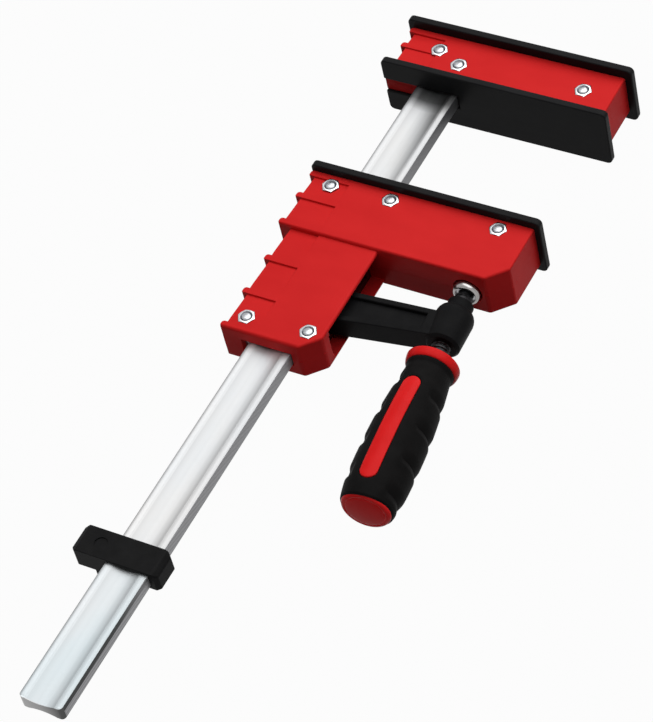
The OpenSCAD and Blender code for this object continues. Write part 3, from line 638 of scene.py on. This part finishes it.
def shell_rule(a, b, convex):
    """Radius of a shell's edge from a to b, in millimetres on the clamp."""
    length = (a - b).length
    on_face = min(abs(a.z), abs(b.z)) > BROAD_FACES and abs(a.z - b.z) < NEAR
    upright = (a.xy - b.xy).length < NEAR and length > UPRIGHT
    if max(abs(a.z), abs(b.z)) < NEAR:
        return PARTING_R
    if not convex or any(abs(a.y - y) + abs(b.y - y) < 2 * NEAR for y in PAD_SEATS):
        return 0.0
    if (a.xy - INNER_CORNER).length + (b.xy - INNER_CORNER).length < BESIDE:
        return 0.0
    if on_face and max(a.y, b.y) < FOOT + BESIDE:
        return FOOT_R
    if max(a.x, b.x) < RIB_TIPS and upright:
        return RIB_R
    if length < SHORT:
        return 0.0
    if on_face and max(a.x, b.x) < RIB_ROOTS:
        return HEEL_R
    if on_face or upright:
        return OUTER_R if min(a.x, b.x) < JAW_TIPS else TIP_R
    return INNER_R


for jaw, body in JAWS:
    for half in ("upper", "lower"):
        node = f"{jaw}_{half}_shell"
        shell = rounded_copy(node, shell_rule, FOOT_R, SHELL_SEGMENTS)
        finished(node + "_moulding", shell, red_shell, body, node)

# %% [markdown]
# ### The pads
# The three pads are plates with round corners and a slot where the rail passes. Their long
# edges are visibly soft. The tongue behind a plate is hidden, so it is left as it is.

# %% Pads
TONGUE_HALF = 4.6
PAD_R = 0.8


def pad_rule(a, b, convex):
    return PAD_R if convex and max(abs(a.z), abs(b.z)) > TONGUE_HALF else 0.0


for node, body in (("fixed_front_pad", "rail"), ("fixed_back_pad", "rail"),
                   ("sliding_jaw_pad", "sliding_jaw")):
    plate = rounded_copy(node, pad_rule, PAD_R)
    finished(node + "_plate", plate, black_pad, body, node)

# %% [markdown]
# ### The rail
# The rail is one section carried along a line, so it is made as a row of equal rings. Near
# the free end the rings narrow along a quarter circle, which gives the round corners, and
# the last ring is drawn in a little for the broken edge.

# %% Rail
RAIL_T = 9.5
GROOVE_W, GROOVE_D = 19.0, 1.6
RAIL_TOP = 39.0
RAIL_EDGE = 0.5
LIP_IN, LIP_OUT = 0.15, 0.25
GROOVE_POINTS, EDGE_POINTS, LONG_RINGS, CORNER_RINGS = 14, 5, 6, 10
TOP_RUN, LOW_RUN = 40, 60
DRAWN_IN = 0.92


def rail_outline():
    """Half of the section's upper side from the middle of the groove to the side, as [x, z]."""
    groove_r = (GROOVE_W ** 2 / 4 + GROOVE_D ** 2) / (2 * GROOVE_D)
    floor = [(x, RAIL_T / 2 - GROOVE_D + groove_r - math.sqrt(groove_r ** 2 - x * x))
             for x in np.linspace(0, GROOVE_W / 2 - LIP_IN, GROOVE_POINTS)]
    lip = [(GROOVE_W / 2 + LIP_OUT, RAIL_T / 2)]
    turn = [(RAIL_W / 2 - RAIL_EDGE * (1 - math.sin(t)),
             RAIL_T / 2 - RAIL_EDGE * (1 - math.cos(t)))
            for t in np.linspace(0, math.pi / 2, EDGE_POINTS)]
    return floor + lip + turn


quarter = rail_outline()
right = quarter + [(x, -z) for x, z in quarter[::-1]]
section = right + [(-x, z) for x, z in right[::-1]]
rings = []
stations = [RAIL_TOP] + list(np.linspace(RAIL_TOP - TOP_RUN, RAIL_LOW + LOW_RUN, LONG_RINGS))
stations += [RAIL_LOW + RAIL_CORNER * (1 - math.sin(t))
             for t in np.linspace(0, math.pi / 2, CORNER_RINGS)]
for y in stations:
    short = max(0.0, RAIL_LOW + RAIL_CORNER - y)
    reach = RAIL_W / 2 - RAIL_CORNER + math.sqrt(max(0.0, RAIL_CORNER ** 2 - short ** 2))
    flatter = DRAWN_IN if y == stations[-1] else 1.0
    rings.append([on_clamp(max(-reach, min(reach, x)), y, z * flatter) for x, z in section])
finished("rail_bar", closed_rings(rings, "rail_bar"), rail_zinc, "rail", "rail")

# %% [markdown]
# ### The slide arm, the swivel cap and the clip
# The arm is a casting: an I-shaped beam that runs into a round boss for the screw. Its long
# edges are well rounded and the short ones round the boss a little less. The turned cap only
# has its edges broken. The clip is a moulding again, with small even radii.

# %% Arm, swivel cap and clip
ARM_CREASE = math.radians(12)
ARM_R, ARM_SHORT_R, ARM_SHORT = 0.8, 0.3, 5.0
CAP_RIM, CAP_EDGE_R = -12.0, 0.3
CLIP_HEEL, CLIP_HEEL_R = -34.0, 0.4
CLIP_TOP, CLIP_TOP_R, CLIP_LOW_R, CLIP_SHORT = 3.0, 1.0, 0.5, 1.0


def arm_rule(a, b, convex):
    if not convex:
        return 0.0
    return ARM_R if (a - b).length > ARM_SHORT else ARM_SHORT_R


def cap_rule(a, b, convex):
    below = max((p - PIVOT).dot(ALONG_SCREW) for p in (a, b)) < CAP_RIM
    return CAP_EDGE_R if convex and below else 0.0


def clip_rule(a, b, convex):
    if not convex or (a - b).length < CLIP_SHORT:
        return 0.0
    if min(a.x, b.x) < CLIP_HEEL:
        return CLIP_HEEL_R
    return CLIP_TOP_R if min(a.z, b.z) > CLIP_TOP else CLIP_LOW_R


arm = rounded_copy("slide_arm", arm_rule, ARM_R, crease=ARM_CREASE)
finished("slide_arm_casting", arm, arm_black, "arm", "slide_arm")
cap = rounded_copy("swivel_cap", cap_rule, CAP_EDGE_R)
finished("swivel_cap_plated", cap, cap_nickel, "swivel", "swivel_cap")
clip = rounded_copy("rail_clip", clip_rule, CLIP_TOP_R)
finished("rail_clip_moulding", clip, clip_black, "clip", "rail_clip")

# %% [markdown]
# ## Nuts and bolts
# Nuts and bolts sit in eight places, so Geometry Nodes put one mesh on many points. The
# points come from the CAD nodes, where each loose solid is one nut or one bolt. A nut's
# corners are cut by a cone, which is what gives the bright round ring on its top.

# %% Nut and bolt shapes
NUT_FLATS, NUT_HEIGHT, NUT_CONE = 10.0, 5.0, 4.8
CONE_SLOPE = math.tan(math.radians(30))
THREAD_D, BORE_PLAY = 6.0, 0.05
SINK_W, SINK_DEPTH, SINK_LIP = 0.95, 0.9, 0.1
FOOT_CUT_W, FOOT_CUT_DEPTH = 0.4, 0.5
HEAD_D, HEAD_H, HEAD_CUT = 11.0, 3.3, 0.3
HEAD_EDGE = ((1.2, 0.0), (0.45, 0.3), (0.0, 1.1))
SOCKET_FLATS, SOCKET_DEPTH, SOCKET_EDGE = 4.0, 2.0, 0.15
SOCKET_MOUTH, SOCKET_SHADE = 2.6, 2.4
SHANK_END = ((0.0, 0.75), (0.35, 0.3), (0.8, 0.05))
END_RUN, END_SHADE = 1.0, 0.4
MIDDLE = 0.01
COLUMNS = 48


def ring(radius, height):
    """A ring of points. radius and height are numbers or functions of the turn."""
    points = []
    for i in range(COLUMNS):
        turn = 2 * math.pi * i / COLUMNS
        r = radius(turn) if callable(radius) else radius
        z = height(turn) if callable(height) else height
        points.append(Vector((r * math.cos(turn), r * math.sin(turn), z)) * MM)
    return points


def corner_hexagon(flats):
    """Radius of a hexagon with its corners along X."""
    return lambda turn: flats / 2 / math.cos((turn % (math.pi / 3)) - math.pi / 6)


def mark_recess_shade(mesh, outer_mm, low_mm, high_mm):
    """Writes the attribute that marks painted shade: 1 on points inside that radius and between
    those heights.
    """
    marks = mesh.attributes.new("sunk", "FLOAT", "POINT")
    for point, mark in zip(mesh.vertices, marks.data):
        radius = point.co.xy.length / MM
        mark.value = float(radius <= outer_mm and low_mm <= point.co.z / MM <= high_mm)
    return mesh


def nut_mesh():
    side = corner_hexagon(NUT_FLATS)
    bore = THREAD_D / 2 + BORE_PLAY

    def low(turn):
        return (side(turn) - NUT_CONE) * CONE_SLOPE

    def top(turn):
        return NUT_HEIGHT - low(turn)

    rings = [ring(bore, FOOT_CUT_DEPTH), ring(bore + FOOT_CUT_W, 0.0), ring(NUT_CONE, 0.0),
             ring(side, low), ring(side, top), ring(NUT_CONE, NUT_HEIGHT),
             ring(bore + SINK_W, NUT_HEIGHT),
             ring(bore + SINK_W - SINK_LIP, NUT_HEIGHT - SINK_LIP),
             ring(bore, NUT_HEIGHT - SINK_DEPTH)]
    mesh = closed_rings(rings + [rings[0]], "nut", caps=False)
    return mark_recess_shade(mesh, bore + SINK_W - SINK_LIP / 2, FOOT_CUT_DEPTH - SINK_LIP,
                     NUT_HEIGHT - SINK_LIP / 2)


def bolt_mesh(length):
    """A bolt with its head down, from the head's face at zero to the end of its shank."""
    socket = corner_hexagon(SOCKET_FLATS)
    head, shank = HEAD_D / 2, THREAD_D / 2
    rings = [ring(MIDDLE, SOCKET_DEPTH), ring(socket, SOCKET_DEPTH), ring(socket, SOCKET_EDGE),
             ring(SOCKET_MOUTH, 0.0)]
    rings += [ring(head - inset, height) for inset, height in HEAD_EDGE]
    rings += [ring(head, HEAD_H - HEAD_CUT), ring(head - HEAD_CUT, HEAD_H), ring(shank, HEAD_H)]
    rings += [ring(shank - inset, length - short) for inset, short in SHANK_END]
    rings.append(ring(MIDDLE, length))
    mesh = mark_recess_shade(closed_rings(rings, "bolt"), SOCKET_SHADE,
                     SOCKET_DEPTH - SOCKET_EDGE, SOCKET_DEPTH + SOCKET_EDGE)
    for point, mark in zip(mesh.vertices, mesh.attributes["sunk"].data):
        if point.co.z / MM > length - END_RUN:
            mark.value = END_SHADE
    return mesh


def solids(node):
    """Lowest and highest corner of each loose solid in a CAD node."""
    bm = merged(node)
    found, left = [], set(bm.verts)
    while left:
        group, edge = set(), [left.pop()]
        while edge:
            vert = edge.pop()
            group.add(vert)
            for link in vert.link_edges:
                other = link.other_vert(vert)
                if other in left:
                    left.remove(other)
                    edge.append(other)
        co = np.array([v.co for v in group])
        found.append((co.min(0), co.max(0)))
    bm.free()
    return sorted(found, key=lambda box: tuple(np.round(box[0], 5)))


# %% [markdown]
# The tree takes points, an object to repeat and a material. It ends by making the copies
# real and giving them the finish, because the export keeps meshes and not instances. The
# modifier's inputs are set by their identifiers before the object is first evaluated.


# %% A tree that repeats a fastener
def geometry_tree(name, **kinds):
    """A tree with named inputs of those kinds and one result: its graph and its inputs."""
    tree = bpy.data.node_groups.new(name, "GeometryNodeTree")
    for key, kind in kinds.items():
        tree.interface.new_socket(
            key.replace("_", " "), in_out="INPUT", socket_type="NodeSocket" + kind)
    tree.interface.new_socket("Result", in_out="OUTPUT", socket_type="NodeSocketGeometry")
    given = tree.nodes.new("NodeGroupInput")
    return Graph(tree), [Value(given.outputs[i]) for i in range(len(kinds))]


def dressed(graph, shape, finish):
    """Ends a tree: makes copies real, sets the finish and gives the result out."""
    real = graph.node("GeometryNodeRealizeInstances", sockets={"Geometry": shape})
    result = graph.node("GeometryNodeSetMaterial", sockets={"Geometry": real, "Material": finish})
    join(graph.tree.nodes.new("NodeGroupOutput").inputs[0], result)
    return graph.tree


def repeat_tree():
    graph, (places, fastener, finish) = geometry_tree(
        "repeat_fastener", Places="Geometry", Fastener="Object", Finish="Material")
    points = graph.node("GeometryNodeMeshToPoints", sockets={"Mesh": places})
    shape = graph.node("GeometryNodeObjectInfo", sockets={"Object": fastener}, output="Geometry")
    copies = graph.node("GeometryNodeInstanceOnPoints",
                        sockets={"Points": points, "Instance": shape})
    return dressed(graph, copies, finish)


def made_by(tree, mesh, **inputs):
    """Runs a geometry tree on a mesh with the named inputs. The result is a plain mesh."""
    holder = linked("holder", mesh)
    modifier = holder.modifiers.new("tree", "NODES")
    modifier.node_group = tree
    keys = {item.name: item.identifier
            for item in tree.interface.items_tree if item.in_out == "INPUT"}
    for name, value in inputs.items():
        modifier[keys[name.replace("_", " ")]] = value
    holder.update_tag()
    graph = bpy.context.evaluated_depsgraph_get()
    graph.update()
    result = bpy.data.meshes.new_from_object(holder.evaluated_get(graph))
    holder.modifiers.clear()
    bpy.data.objects.remove(holder)
    return result


# %% Nuts
repeat_fastener = repeat_tree()


def copies_at(places, shape):
    """Copies of a mesh at places, as one mesh with the fasteners' finish."""
    pattern = linked("pattern", shape)
    points = bpy.data.meshes.new("places")
    points.from_pydata(places, [], [])
    mesh = made_by(repeat_fastener, points, Fastener=pattern, Finish=fastener_zinc)
    bpy.data.objects.remove(pattern)
    return mesh


def foot_of(low, high):
    """Middle of a box's lower side."""
    return (low[0] + high[0]) / 2, (low[1] + high[1]) / 2, low[2]


for jaw, body in JAWS:
    nuts = copies_at([foot_of(*box) for box in solids(jaw + "_nuts")], nut_mesh())
    finished(jaw + "_hex_nuts", nuts, fastener_zinc, body, jaw + "_nuts")

# %% [markdown]
# The sliding jaw is thicker at its head than at its leg, so it has bolts of two lengths. The
# bolts of a jaw are sorted by length, each length gets its own mesh, and the results are
# joined into one piece for the CAD node.

# %% Bolts
for jaw, body in JAWS:
    lengths = {}
    for low, high in solids(jaw + "_bolts"):
        length = round(float(high[2] - low[2]) / MM, 2)
        lengths.setdefault(length, []).append(foot_of(low, high))
    bm = bmesh.new()
    for length, places in lengths.items():
        bm.from_mesh(copies_at(places, bolt_mesh(length)))
    bolts = to_mesh(bm, jaw + "_socket_bolts")
    finished(jaw + "_socket_bolts", bolts, fastener_zinc, body, jaw + "_bolts")

# %% [markdown]
# ## The screw
# A thread is a rule: the radius depends only on how far along the screw and how far round a
# point is. So a flat grid is rolled up by Geometry Nodes, with the pitch, radius and depth as
# named inputs. The plain ends are then drawn out from the two open rims.

# %% A tree that rolls up a thread
CREST_HALF, FLANK_SLOPE = 0.2, 6.0
SEAM = 1e-6


def thread_tree():
    graph, (length, pitch, crest, depth, rings, finish) = geometry_tree(
        "rolled_thread", Length="Float", Pitch="Float", Crest_Radius="Float", Depth="Float",
        Rings="Int", Finish="Material")
    sheet = graph.node("GeometryNodeMeshGrid", sockets={
        "Size X": 1.0, "Size Y": 1.0, "Vertices X": COLUMNS + 1, "Vertices Y": rings})
    where = graph.node("GeometryNodeInputPosition")
    split = graph.node("ShaderNodeSeparateXYZ", sockets={0: where}).socket.node
    share, height = Value(split.outputs[0]), Value(split.outputs[1])
    along = (height + 0.5) * length
    turns = along / pitch - share
    offset = (turns.math("FRACT", turns) - 0.5).size()
    tooth = (1.0 + (CREST_HALF - offset) * FLANK_SLOPE).kept()
    fade = (along.least(length - along) / pitch).kept()
    radius = crest - depth + depth * tooth * fade
    angle = share * (2 * math.pi)
    rolled = graph.node("ShaderNodeCombineXYZ", sockets={
        0: radius * angle.math("COSINE", angle), 1: radius * angle.math("SINE", angle), 2: along})
    tube = graph.node("GeometryNodeSetPosition", sockets={"Geometry": sheet, "Position": rolled})
    seam = graph.node("GeometryNodeMergeByDistance", sockets={"Geometry": tube, "Distance": SEAM})
    return dressed(graph, seam, finish)


# %% Screw
THREAD_HIGH, THREAD_LOW = -17.5, -71.2
PITCH, CREST_R, THREAD_DEPTH = 3.0, 6.0, 1.0
RINGS_PER_PITCH = 14
HEAD_END = [(4.5, THREAD_HIGH), (4.5, -14.35), (6.2, -14.35), (6.5, -14.05), (6.5, -12.35),
            (6.2, -12.05)]
HANDLE_END = [(4.7, THREAD_LOW), (4.7, -105.2), (4.2, -105.7)]
RIM_NEAR = 1e-6

span = THREAD_HIGH - THREAD_LOW
thread = made_by(
    thread_tree(), bpy.data.meshes.new("thread_seed"), Length=span * MM, Pitch=PITCH * MM,
    Crest_Radius=CREST_R * MM, Depth=THREAD_DEPTH * MM,
    Rings=int(span / PITCH * RINGS_PER_PITCH), Finish=screw_black)
to_screw = Matrix((ALONG_ARM, -UP, ALONG_SCREW)).transposed().to_4x4()
to_screw.translation = (PIVOT + RAIL_TO_FRAME + ALONG_SCREW * THREAD_LOW) * MM

bm = bmesh.new()
bm.from_mesh(thread)
for stations, base in ((HEAD_END, span), (HANDLE_END, 0.0)):
    rim = [e for e in bm.edges
           if e.is_boundary and abs(e.verts[0].co.z - base * MM) < RIM_NEAR]
    for radius, station in stations:
        grown = bmesh.ops.extrude_edge_only(bm, edges=rim)["geom"]
        rim = [g for g in grown if isinstance(g, bmesh.types.BMEdge)]
        for vert in {v for e in rim for v in e.verts}:
            vert.co = (*(vert.co.xy.normalized() * radius * MM), (station - THREAD_LOW) * MM)
    bmesh.ops.contextual_create(bm, geom=rim)
bmesh.ops.remove_doubles(bm, verts=bm.verts, dist=MERGE)
bmesh.ops.recalc_face_normals(bm, faces=bm.faces)
bm.transform(to_screw)
screw = to_mesh(bm, "screw_thread")
finished("screw_thread", screw, screw_black, "screw", "spindle")

# %% [markdown]
# ## The handle
# The grip has a lip against the collar, swells from a neck to a belly and tapers to the end.
# Its two flanks have shallow marks for the fingers at the same pitch: creases on the side of
# the jaw tips, and on the side of the rail troughs that end in a step. Two red inlays lie in
# round-ended pockets above and below. One fine skin holds all of it, because the radius is
# again a rule of station and turn.

# %% Handle sizes
COLLAR_TOP, COLLAR_LOW = -71.7, -77.7
GRIP_LOW, END_LOW = -182.7, -185.1
LIP_R, LIP_RUN = 15.2, 4.0
NECK_R, BELLY_R, TAIL_R = 13.8, 19.05, 16.4
BELLY_SHARE, TAIL_CURVE = 0.6, 4
BELLY_AT = COLLAR_LOW + BELLY_SHARE * (GRIP_LOW - COLLAR_LOW)
INLAY_TURN = math.radians(-4)
INLAY_HALF, INLAY_FROM, INLAY_TO = 5.8, 16.5, 95.5
INLAY_HIGH = COLLAR_LOW - INLAY_FROM - INLAY_HALF
INLAY_LOW = COLLAR_LOW - INLAY_TO + INLAY_HALF
POCKET_PLAY, POCKET_DEPTH = 0.3, 1.4
POCKET_EDGE = INLAY_HALF + POCKET_PLAY
WALL_IN, WALL_OUT = 0.35, 0.15
BORDER_W, BORDER_DEPTH = 1.9, 0.25
FINGER_PITCH = 24.0
FLANK_FROM, FLANK_TO = 0.60, 0.80
CREASE_FIRST, CREASE_ABOVE, CREASE_BELOW = -103.5, 7.0, 4.0
CREASE_DEPTH, CREASE_CURVE = 1.6, 1.5
TROUGH_FIRST, TROUGH_RUN, TROUGH_FLAT = -99.4, 11.5, 7.5
TROUGH_STEP, TROUGH_DEPTH = 1.4, 1.2
END_DIP, END_DIP_RUN = 1.9, 9.0
SOFT_END, SOFT_END_RUN = 0.8, 0.9
GRIP_BORE = 10.05
SIDE_COLUMNS, GRIP_RINGS = 288, 216


def ease(low, high, value):
    t = max(0.0, min(1.0, (value - low) / (high - low)))
    return t * t * (3 - 2 * t)


def grip_radius(station):
    """Radius of the grip's outer form."""
    if station > BELLY_AT:
        t = (COLLAR_LOW - station) / (COLLAR_LOW - BELLY_AT)
        swell = NECK_R + (BELLY_R - NECK_R) * math.sin(math.pi / 2 * t)
        return swell + (LIP_R - NECK_R) * ease(LIP_RUN, 0.0, COLLAR_LOW - station)
    t = (BELLY_AT - station) / (BELLY_AT - GRIP_LOW)
    return BELLY_R - (BELLY_R - TAIL_R) * t ** TAIL_CURVE


def inlay_reach(station, turn, radius):
    """Distance from the middle line of the nearer inlay, measured on the grip."""
    lean = (turn - INLAY_TURN + math.pi / 2) % math.pi - math.pi / 2
    beyond = max(station - INLAY_HIGH, INLAY_LOW - station, 0.0)
    return math.hypot(radius * math.sin(lean), beyond)


def finger_sink(station, turn):
    """How deep the finger marks are sunk at a point of the grip."""
    troughs = math.sin(turn) < 0
    first = TROUGH_FIRST if troughs else CREASE_FIRST
    if station > first + FINGER_PITCH / 2:
        return 0.0
    above = (station - first) % FINGER_PITCH
    flank = ease(FLANK_FROM, FLANK_TO, abs(math.sin(turn)))
    if troughs:
        trough = ease(TROUGH_RUN, TROUGH_FLAT, above) * ease(0.0, TROUGH_STEP, above)
        return TROUGH_DEPTH * flank * trough
    away = min(above / CREASE_ABOVE, (FINGER_PITCH - above) / CREASE_BELOW, 1.0)
    return CREASE_DEPTH * flank * (1 - away) ** CREASE_CURVE


# %% Grip
def grip_skin(station, turn):
    radius = grip_radius(station)
    reach = inlay_reach(station, turn, radius)
    pocket = POCKET_DEPTH * (1 - ease(POCKET_EDGE - WALL_IN, POCKET_EDGE + WALL_OUT, reach))
    border = BORDER_DEPTH * (1 - ease(POCKET_EDGE, POCKET_EDGE + BORDER_W, reach))
    return radius - max(pocket, border, finger_sink(station, turn))


def end_dip(station, turn):
    """How far the grip's lower edge reaches over the end cap on its upper side."""
    upper = max(0.0, math.cos(turn)) ** 2
    return END_DIP * upper * ease(GRIP_LOW + END_DIP_RUN, GRIP_LOW, station)


stations = list(np.linspace(COLLAR_LOW, GRIP_LOW, GRIP_RINGS))
turns = [2 * math.pi * i / SIDE_COLUMNS for i in range(SIDE_COLUMNS)]
rings = [[round_screw(GRIP_BORE, COLLAR_LOW, t) for t in turns]]
for station in stations:
    soft_end = SOFT_END * ease(GRIP_LOW + SOFT_END_RUN, GRIP_LOW, station)
    rings.append([round_screw(grip_skin(station, t) - soft_end, station - end_dip(station, t), t)
                  for t in turns])
rings.append([round_screw(GRIP_BORE, GRIP_LOW, t) for t in turns])
grip = closed_rings(rings, "handle_grip_soft")
finished("handle_grip_soft", grip, grip_black, "screw", "handle_grip")

# %% [markdown]
# The collar is turned: a disc whose rim curves in to the grip's lip. Each inlay is a raised
# pad: its outline is a stadium, drawn in step by step towards its middle line, and every
# point is laid on the grip's round form.

# %% Collar and inlays
COLLAR_R = 17.0
COLLAR_EDGE = ((0.7, 0.0), (0.3, 0.12), (0.08, 0.4))
CURVE_FROM, CURVE_POINTS = 0.13, 12
CORE_R, CORE_HOLE = 10.0, 0.5
TURNED_SIDES = 96
INLAY_POINTS, INLAY_STEPS = 28, 6
INLAY_DEPTH, INLAY_CROWN = 3.0, 1.8
INLAY_EDGE = ((0.0, 0.55), (0.18, 0.22), (0.5, 0.06), (1.0, 0.0))


def turned_piece(profile, name):
    """A mesh turned round the screw from a profile of [radius, station]."""
    around = [2 * math.pi * i / TURNED_SIDES for i in range(TURNED_SIDES)]
    return closed_rings([[round_screw(r, v, t) for t in around] for r, v in profile], name)


def stadium(inset):
    """Points of an inlay's outline, drawn in by inset, as [sideways, station]."""
    r = INLAY_HALF - inset
    arc = np.linspace(0, math.pi, INLAY_POINTS)
    run = np.linspace(INLAY_HIGH, INLAY_LOW, INLAY_POINTS + 2)[1:-1]
    return ([(r * math.cos(a), INLAY_HIGH + r * math.sin(a)) for a in arc]
            + [(-r, v) for v in run]
            + [(-r * math.cos(a), INLAY_LOW - r * math.sin(a)) for a in arc]
            + [(r, v) for v in run[::-1]])


def inlay(side):
    """One inlay as rings: from the middle line of its hidden side round to that of its face."""
    steps = [(INLAY_HALF, INLAY_DEPTH), (0.0, INLAY_DEPTH), *INLAY_EDGE]
    steps += [(inset, 0.0) for inset in np.linspace(INLAY_CROWN, INLAY_HALF, INLAY_STEPS)]
    rings = []
    for inset, sink in steps:
        points = []
        for sideways, station in stadium(inset):
            radius = grip_radius(station)
            turn = INLAY_TURN + side + math.asin(sideways / radius)
            points.append(round_screw(radius - sink, station, turn))
        rings.append(points)
    return closed_rings(rings, "inlay", caps=False)


disc = [(CORE_HOLE, COLLAR_TOP)]
disc += [(COLLAR_R - inset, COLLAR_TOP - drop) for inset, drop in COLLAR_EDGE]
for a in np.linspace(CURVE_FROM, math.pi / 2, CURVE_POINTS):
    disc.append((LIP_R + (COLLAR_R - LIP_R) * math.cos(a),
                 COLLAR_TOP + (COLLAR_LOW - COLLAR_TOP) * math.sin(a)))
disc += [(CORE_R, COLLAR_LOW), (CORE_R, GRIP_LOW), (CORE_HOLE, GRIP_LOW)]
bm = bmesh.new()
for mesh in (turned_piece(disc, "disc"), inlay(0.0), inlay(math.pi)):
    bm.from_mesh(mesh)
collar = to_mesh(bm, "handle_collar_inlays")
finished("handle_collar_inlays", collar, handle_red, "screw", "handle_core")

# %% [markdown]
# The end cap closes the grip: a rim with a full round edge, a fine groove inside it and a
# slightly domed face. It is turned like the collar.

# %% End cap
CAP_R, FACE_R = 15.6, 12.9
RIM_ROUND, RIM_POINTS = 2.7, 10
SPIGOT_R, SPIGOT_LEN = 7.0, 11.0
GROOVE_EDGE, GROOVE_FLOOR, GROOVE_SINK = 0.7, 0.45, 0.2
FACE_DOME, FACE_RINGS = 0.95, (11.8, 10.0, 7.5, 5.0, 2.5, 0.3)

cap_profile = [(FACE_RINGS[-1], GRIP_LOW + SPIGOT_LEN), (SPIGOT_R, GRIP_LOW + SPIGOT_LEN),
               (SPIGOT_R, GRIP_LOW)]
for a in np.linspace(0, math.pi / 2, RIM_POINTS):
    cap_profile.append((CAP_R - RIM_ROUND * (1 - math.cos(a)),
                        GRIP_LOW + (END_LOW - GRIP_LOW) * math.sin(a)))
cap_profile += [(FACE_R - GROOVE_FLOOR, END_LOW + GROOVE_SINK), (FACE_R - GROOVE_EDGE, END_LOW)]
cap_profile += [(r, END_LOW - FACE_DOME * (1 - (r / FACE_R) ** 2)) for r in FACE_RINGS]
end_disc = turned_piece(cap_profile, "handle_end_disc")
finished("handle_end_disc", end_disc, painted_light_red, "screw", "handle_end_cap")

# %% [markdown]
# ## CAD nodes that stay
# The inner pieces are right as they come from the CAD, so they only get their finishes.

# %% Finishes on the inner pieces
INNER = {
    cast_core: ("fixed_jaw_core", "sliding_jaw_core"),
    plain_steel: ("lower_rail_guide", "brake_spring", "swivel_pin", "retaining_ring", "handle_pin"),
    washer_bronze: ("thrust_washer",),
}
for material, kept_nodes in INNER.items():
    for node in kept_nodes:
        nodes[node].data.materials.clear()
        nodes[node].data.materials.append(material)
    print(material.name, "on", *kept_nodes)

# %% [markdown]
# ## Floor, world and lamps
# The photograph has a white ground with no visible shadow. The floor and the world are white
# to the camera and in reflections only, so they don't light the clamp. A large lamp above,
# behind and to the right lights the broad faces. A weak one low in front reaches the sides
# that face away from it, and a weak even world fills the rest.

# %% Floor and world
SEEN_WHITE = 0.97
FLOOR_REACH = 6.0
FLOOR_GREY = (0.11, 0.11, 0.11, 1)
AMBIENT = 0.03


def seen(graph):
    """1 for rays from the camera, from mirrors and through glass."""
    path = graph.tree.nodes.new("ShaderNodeLightPath").outputs
    look, mirror = Value(path["Is Camera Ray"]), Value(path["Is Glossy Ray"])
    return look.most(mirror).most(Value(path["Is Transmission Ray"]))


floor_mesh = bpy.data.meshes.new("floor")
corners = [(x * FLOOR_REACH, y * FLOOR_REACH, 0) for x, y in ((-1, -1), (1, -1), (1, 1), (-1, 1))]
floor_mesh.from_pydata(corners, [], [(0, 1, 2, 3)])
floor = linked("floor", floor_mesh)
floor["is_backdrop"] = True
paper = bpy.data.materials.new("pale_floor")
paper.use_nodes = True
graph = Graph(paper.node_tree)
matt = graph.node("ShaderNodeBsdfDiffuse", sockets={"Color": FLOOR_GREY})
glow = graph.node("ShaderNodeEmission", sockets={"Color": WHITE, "Strength": 1.0})
ground_mix = graph.node("ShaderNodeMixShader", sockets={
    0: seen(graph) * SEEN_WHITE, 1: matt, 2: glow})
join(paper.node_tree.nodes["Material Output"].inputs["Surface"], ground_mix)
floor_mesh.materials.append(paper)

world = bpy.data.worlds.new("studio")
bpy.context.scene.world = world
world.use_nodes = True
sky = world.node_tree.nodes["Background"].inputs
join(sky["Strength"], AMBIENT + (1 - AMBIENT) * seen(Graph(world.node_tree)))
join(sky["Color"], WHITE)
print("floor and world")


# %% Lamps
def lamp(name, place, aim, size, watts):
    light = bpy.data.lights.new(name, "AREA")
    light.shape = "RECTANGLE"
    light.size, light.size_y = size
    light.energy = watts
    holder = linked(name, light)
    holder.location = place
    holder.rotation_euler = (Vector(aim) - Vector(place)).to_track_quat("-Z", "Y").to_euler()
    print(name, "lamp,", watts, "W")


lamp("key", place=(0.30, 0.75, 1.55), aim=(0, 0.05, 0), size=(2.6, 2.6), watts=51)
lamp("fill", place=(0.10, -1.80, 0.45), aim=(0, 0, 0), size=(1.6, 0.8), watts=2.8)

# %% [markdown]
# ## Size and the end
# The visual model's box is printed. The visual model has to stay inside the CAD model's
# box.

# %% The visual model's box
low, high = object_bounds()
print("visual box", [round(v, 4) for v in low], [round(v, 4) for v in high])
